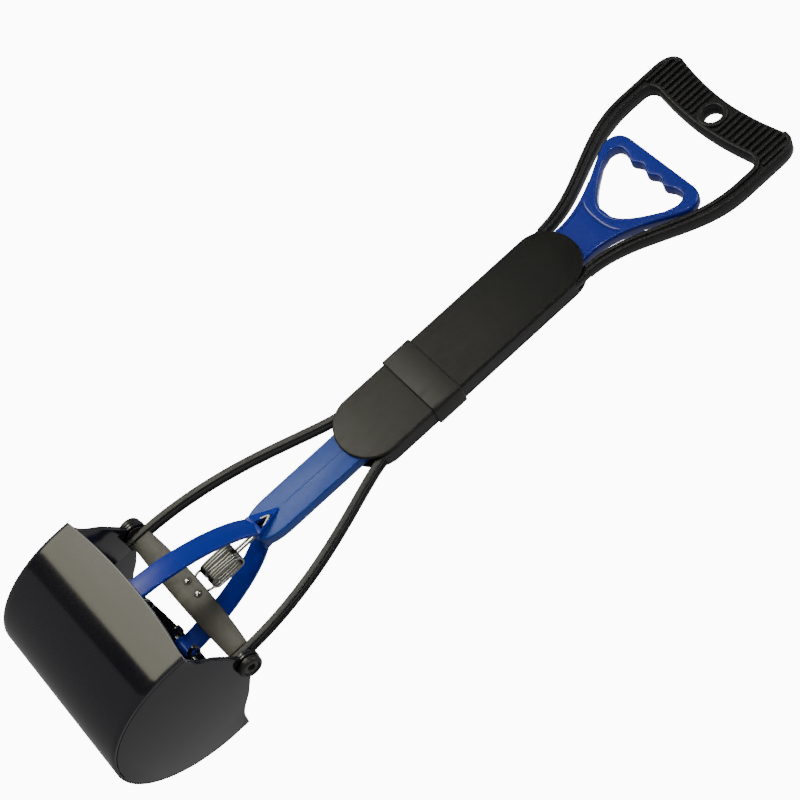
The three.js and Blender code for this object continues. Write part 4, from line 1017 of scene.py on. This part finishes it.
# The flag is only seen in glossy pieces, as a dark band on the front jaw
flag = dict(size=(1.0, 0.3), place=(-0.62, -0.9, -1.0), toward=(0.57, 0.82, 0.35), shade=0.01)
warm = (1, 0.97, 0.74)
lamps = (
    dict(name="low_card", place=(-0.58, -0.84, -0.5), target=-0.5, size=(0.7, 0.66), watts=4.2, colour=warm),
    dict(name="key", place=(-1.05, -1.7, -0.33), target=-0.3, size=(1.2, 0.3), watts=7),
    dict(name="glint", place=(0.45, -1.5, 0.0), target=-0.1, size=(0.16, 0.16), watts=4),
    dict(name="side", place=(1.3, 1.8, -0.6), target=-0.4, size=(3, 3), watts=6.5),
    dict(name="top", place=(0.6, -0.6, 1.4), target=-0.2, size=(1.2, 1.2), watts=10),
    dict(name="rear", place=(-0.7, 2.4, 0.7), target=-0.3, size=(2.2, 1.6), watts=16),
)


def sheet(name, size, place, toward, shade, glow=0.0, onlyGlossy=False):
    bm = bmesh.new()
    scale = Matrix.Diagonal((*size, 1, 1))
    bmesh.ops.create_grid(bm, x_segments=1, y_segments=1, size=0.5, matrix=scale)
    mesh = bpy.data.meshes.new(name)
    bm.to_mesh(mesh)
    bm.free()
    paint = bpy.data.materials.new(name)
    paint.use_nodes = True
    inputs = paint.node_tree.nodes["Principled BSDF"].inputs
    inputs["Base Color"].default_value = (shade, shade, shade, 1)
    inputs["Roughness"].default_value = room["rough"]
    inputs["Emission Color"].default_value = (1, 1, 1, 1)
    inputs["Emission Strength"].default_value = glow
    mesh.materials.append(paint)
    obj = bpy.data.objects.new(name, mesh)
    obj.location = place
    obj.rotation_euler = Vector(toward).to_track_quat("Z", "Y").to_euler()
    bpy.context.scene.collection.objects.link(obj)
    obj.visible_camera = not onlyGlossy
    obj.visible_diffuse = obj.visible_shadow = False
    obj.visible_glossy = onlyGlossy


wide = room["wide"]
sheet("floor", (wide, wide), (0, 0, room["floor"]), (0, 0, 1), room["shade"], room["glow"])
for name, x, y in (("wall_back", 0, 1), ("wall_front", 0, -1), ("wall_left", -1, 0), ("wall_right", 1, 0)):
    place = (x * wide / 2, y * wide / 2, room["floor"] + wide / 2)
    sheet(name, (wide, wide), place, (-x, -y, 0), room["shade"], room["glow"])
sheet("flag", flag["size"], flag["place"], flag["toward"], flag["shade"], onlyGlossy=True)

world = bpy.data.worlds.new("studio")
world.use_nodes = True
background = world.node_tree.nodes["Background"].inputs
background["Color"].default_value = (1, 1, 1, 1)
background["Strength"].default_value = room["sky"]
bpy.context.scene.world = world


def lamp(name, place, target, size, watts, colour=(1, 1, 1)):  # it shines at a height on the part's axis
    light = bpy.data.lights.new(name, "AREA")
    light.color = colour
    light.shape = "RECTANGLE"
    light.size, light.size_y = size
    light.energy = watts
    obj = bpy.data.objects.new(name, light)
    obj.location = place
    obj.rotation_euler = (Vector((0, 0, target)) - Vector(place)).to_track_quat("-Z", "Y").to_euler()
    obj.visible_camera = False
    bpy.context.scene.collection.objects.link(obj)


for settings in lamps:
    lamp(**settings)
print("stage made")
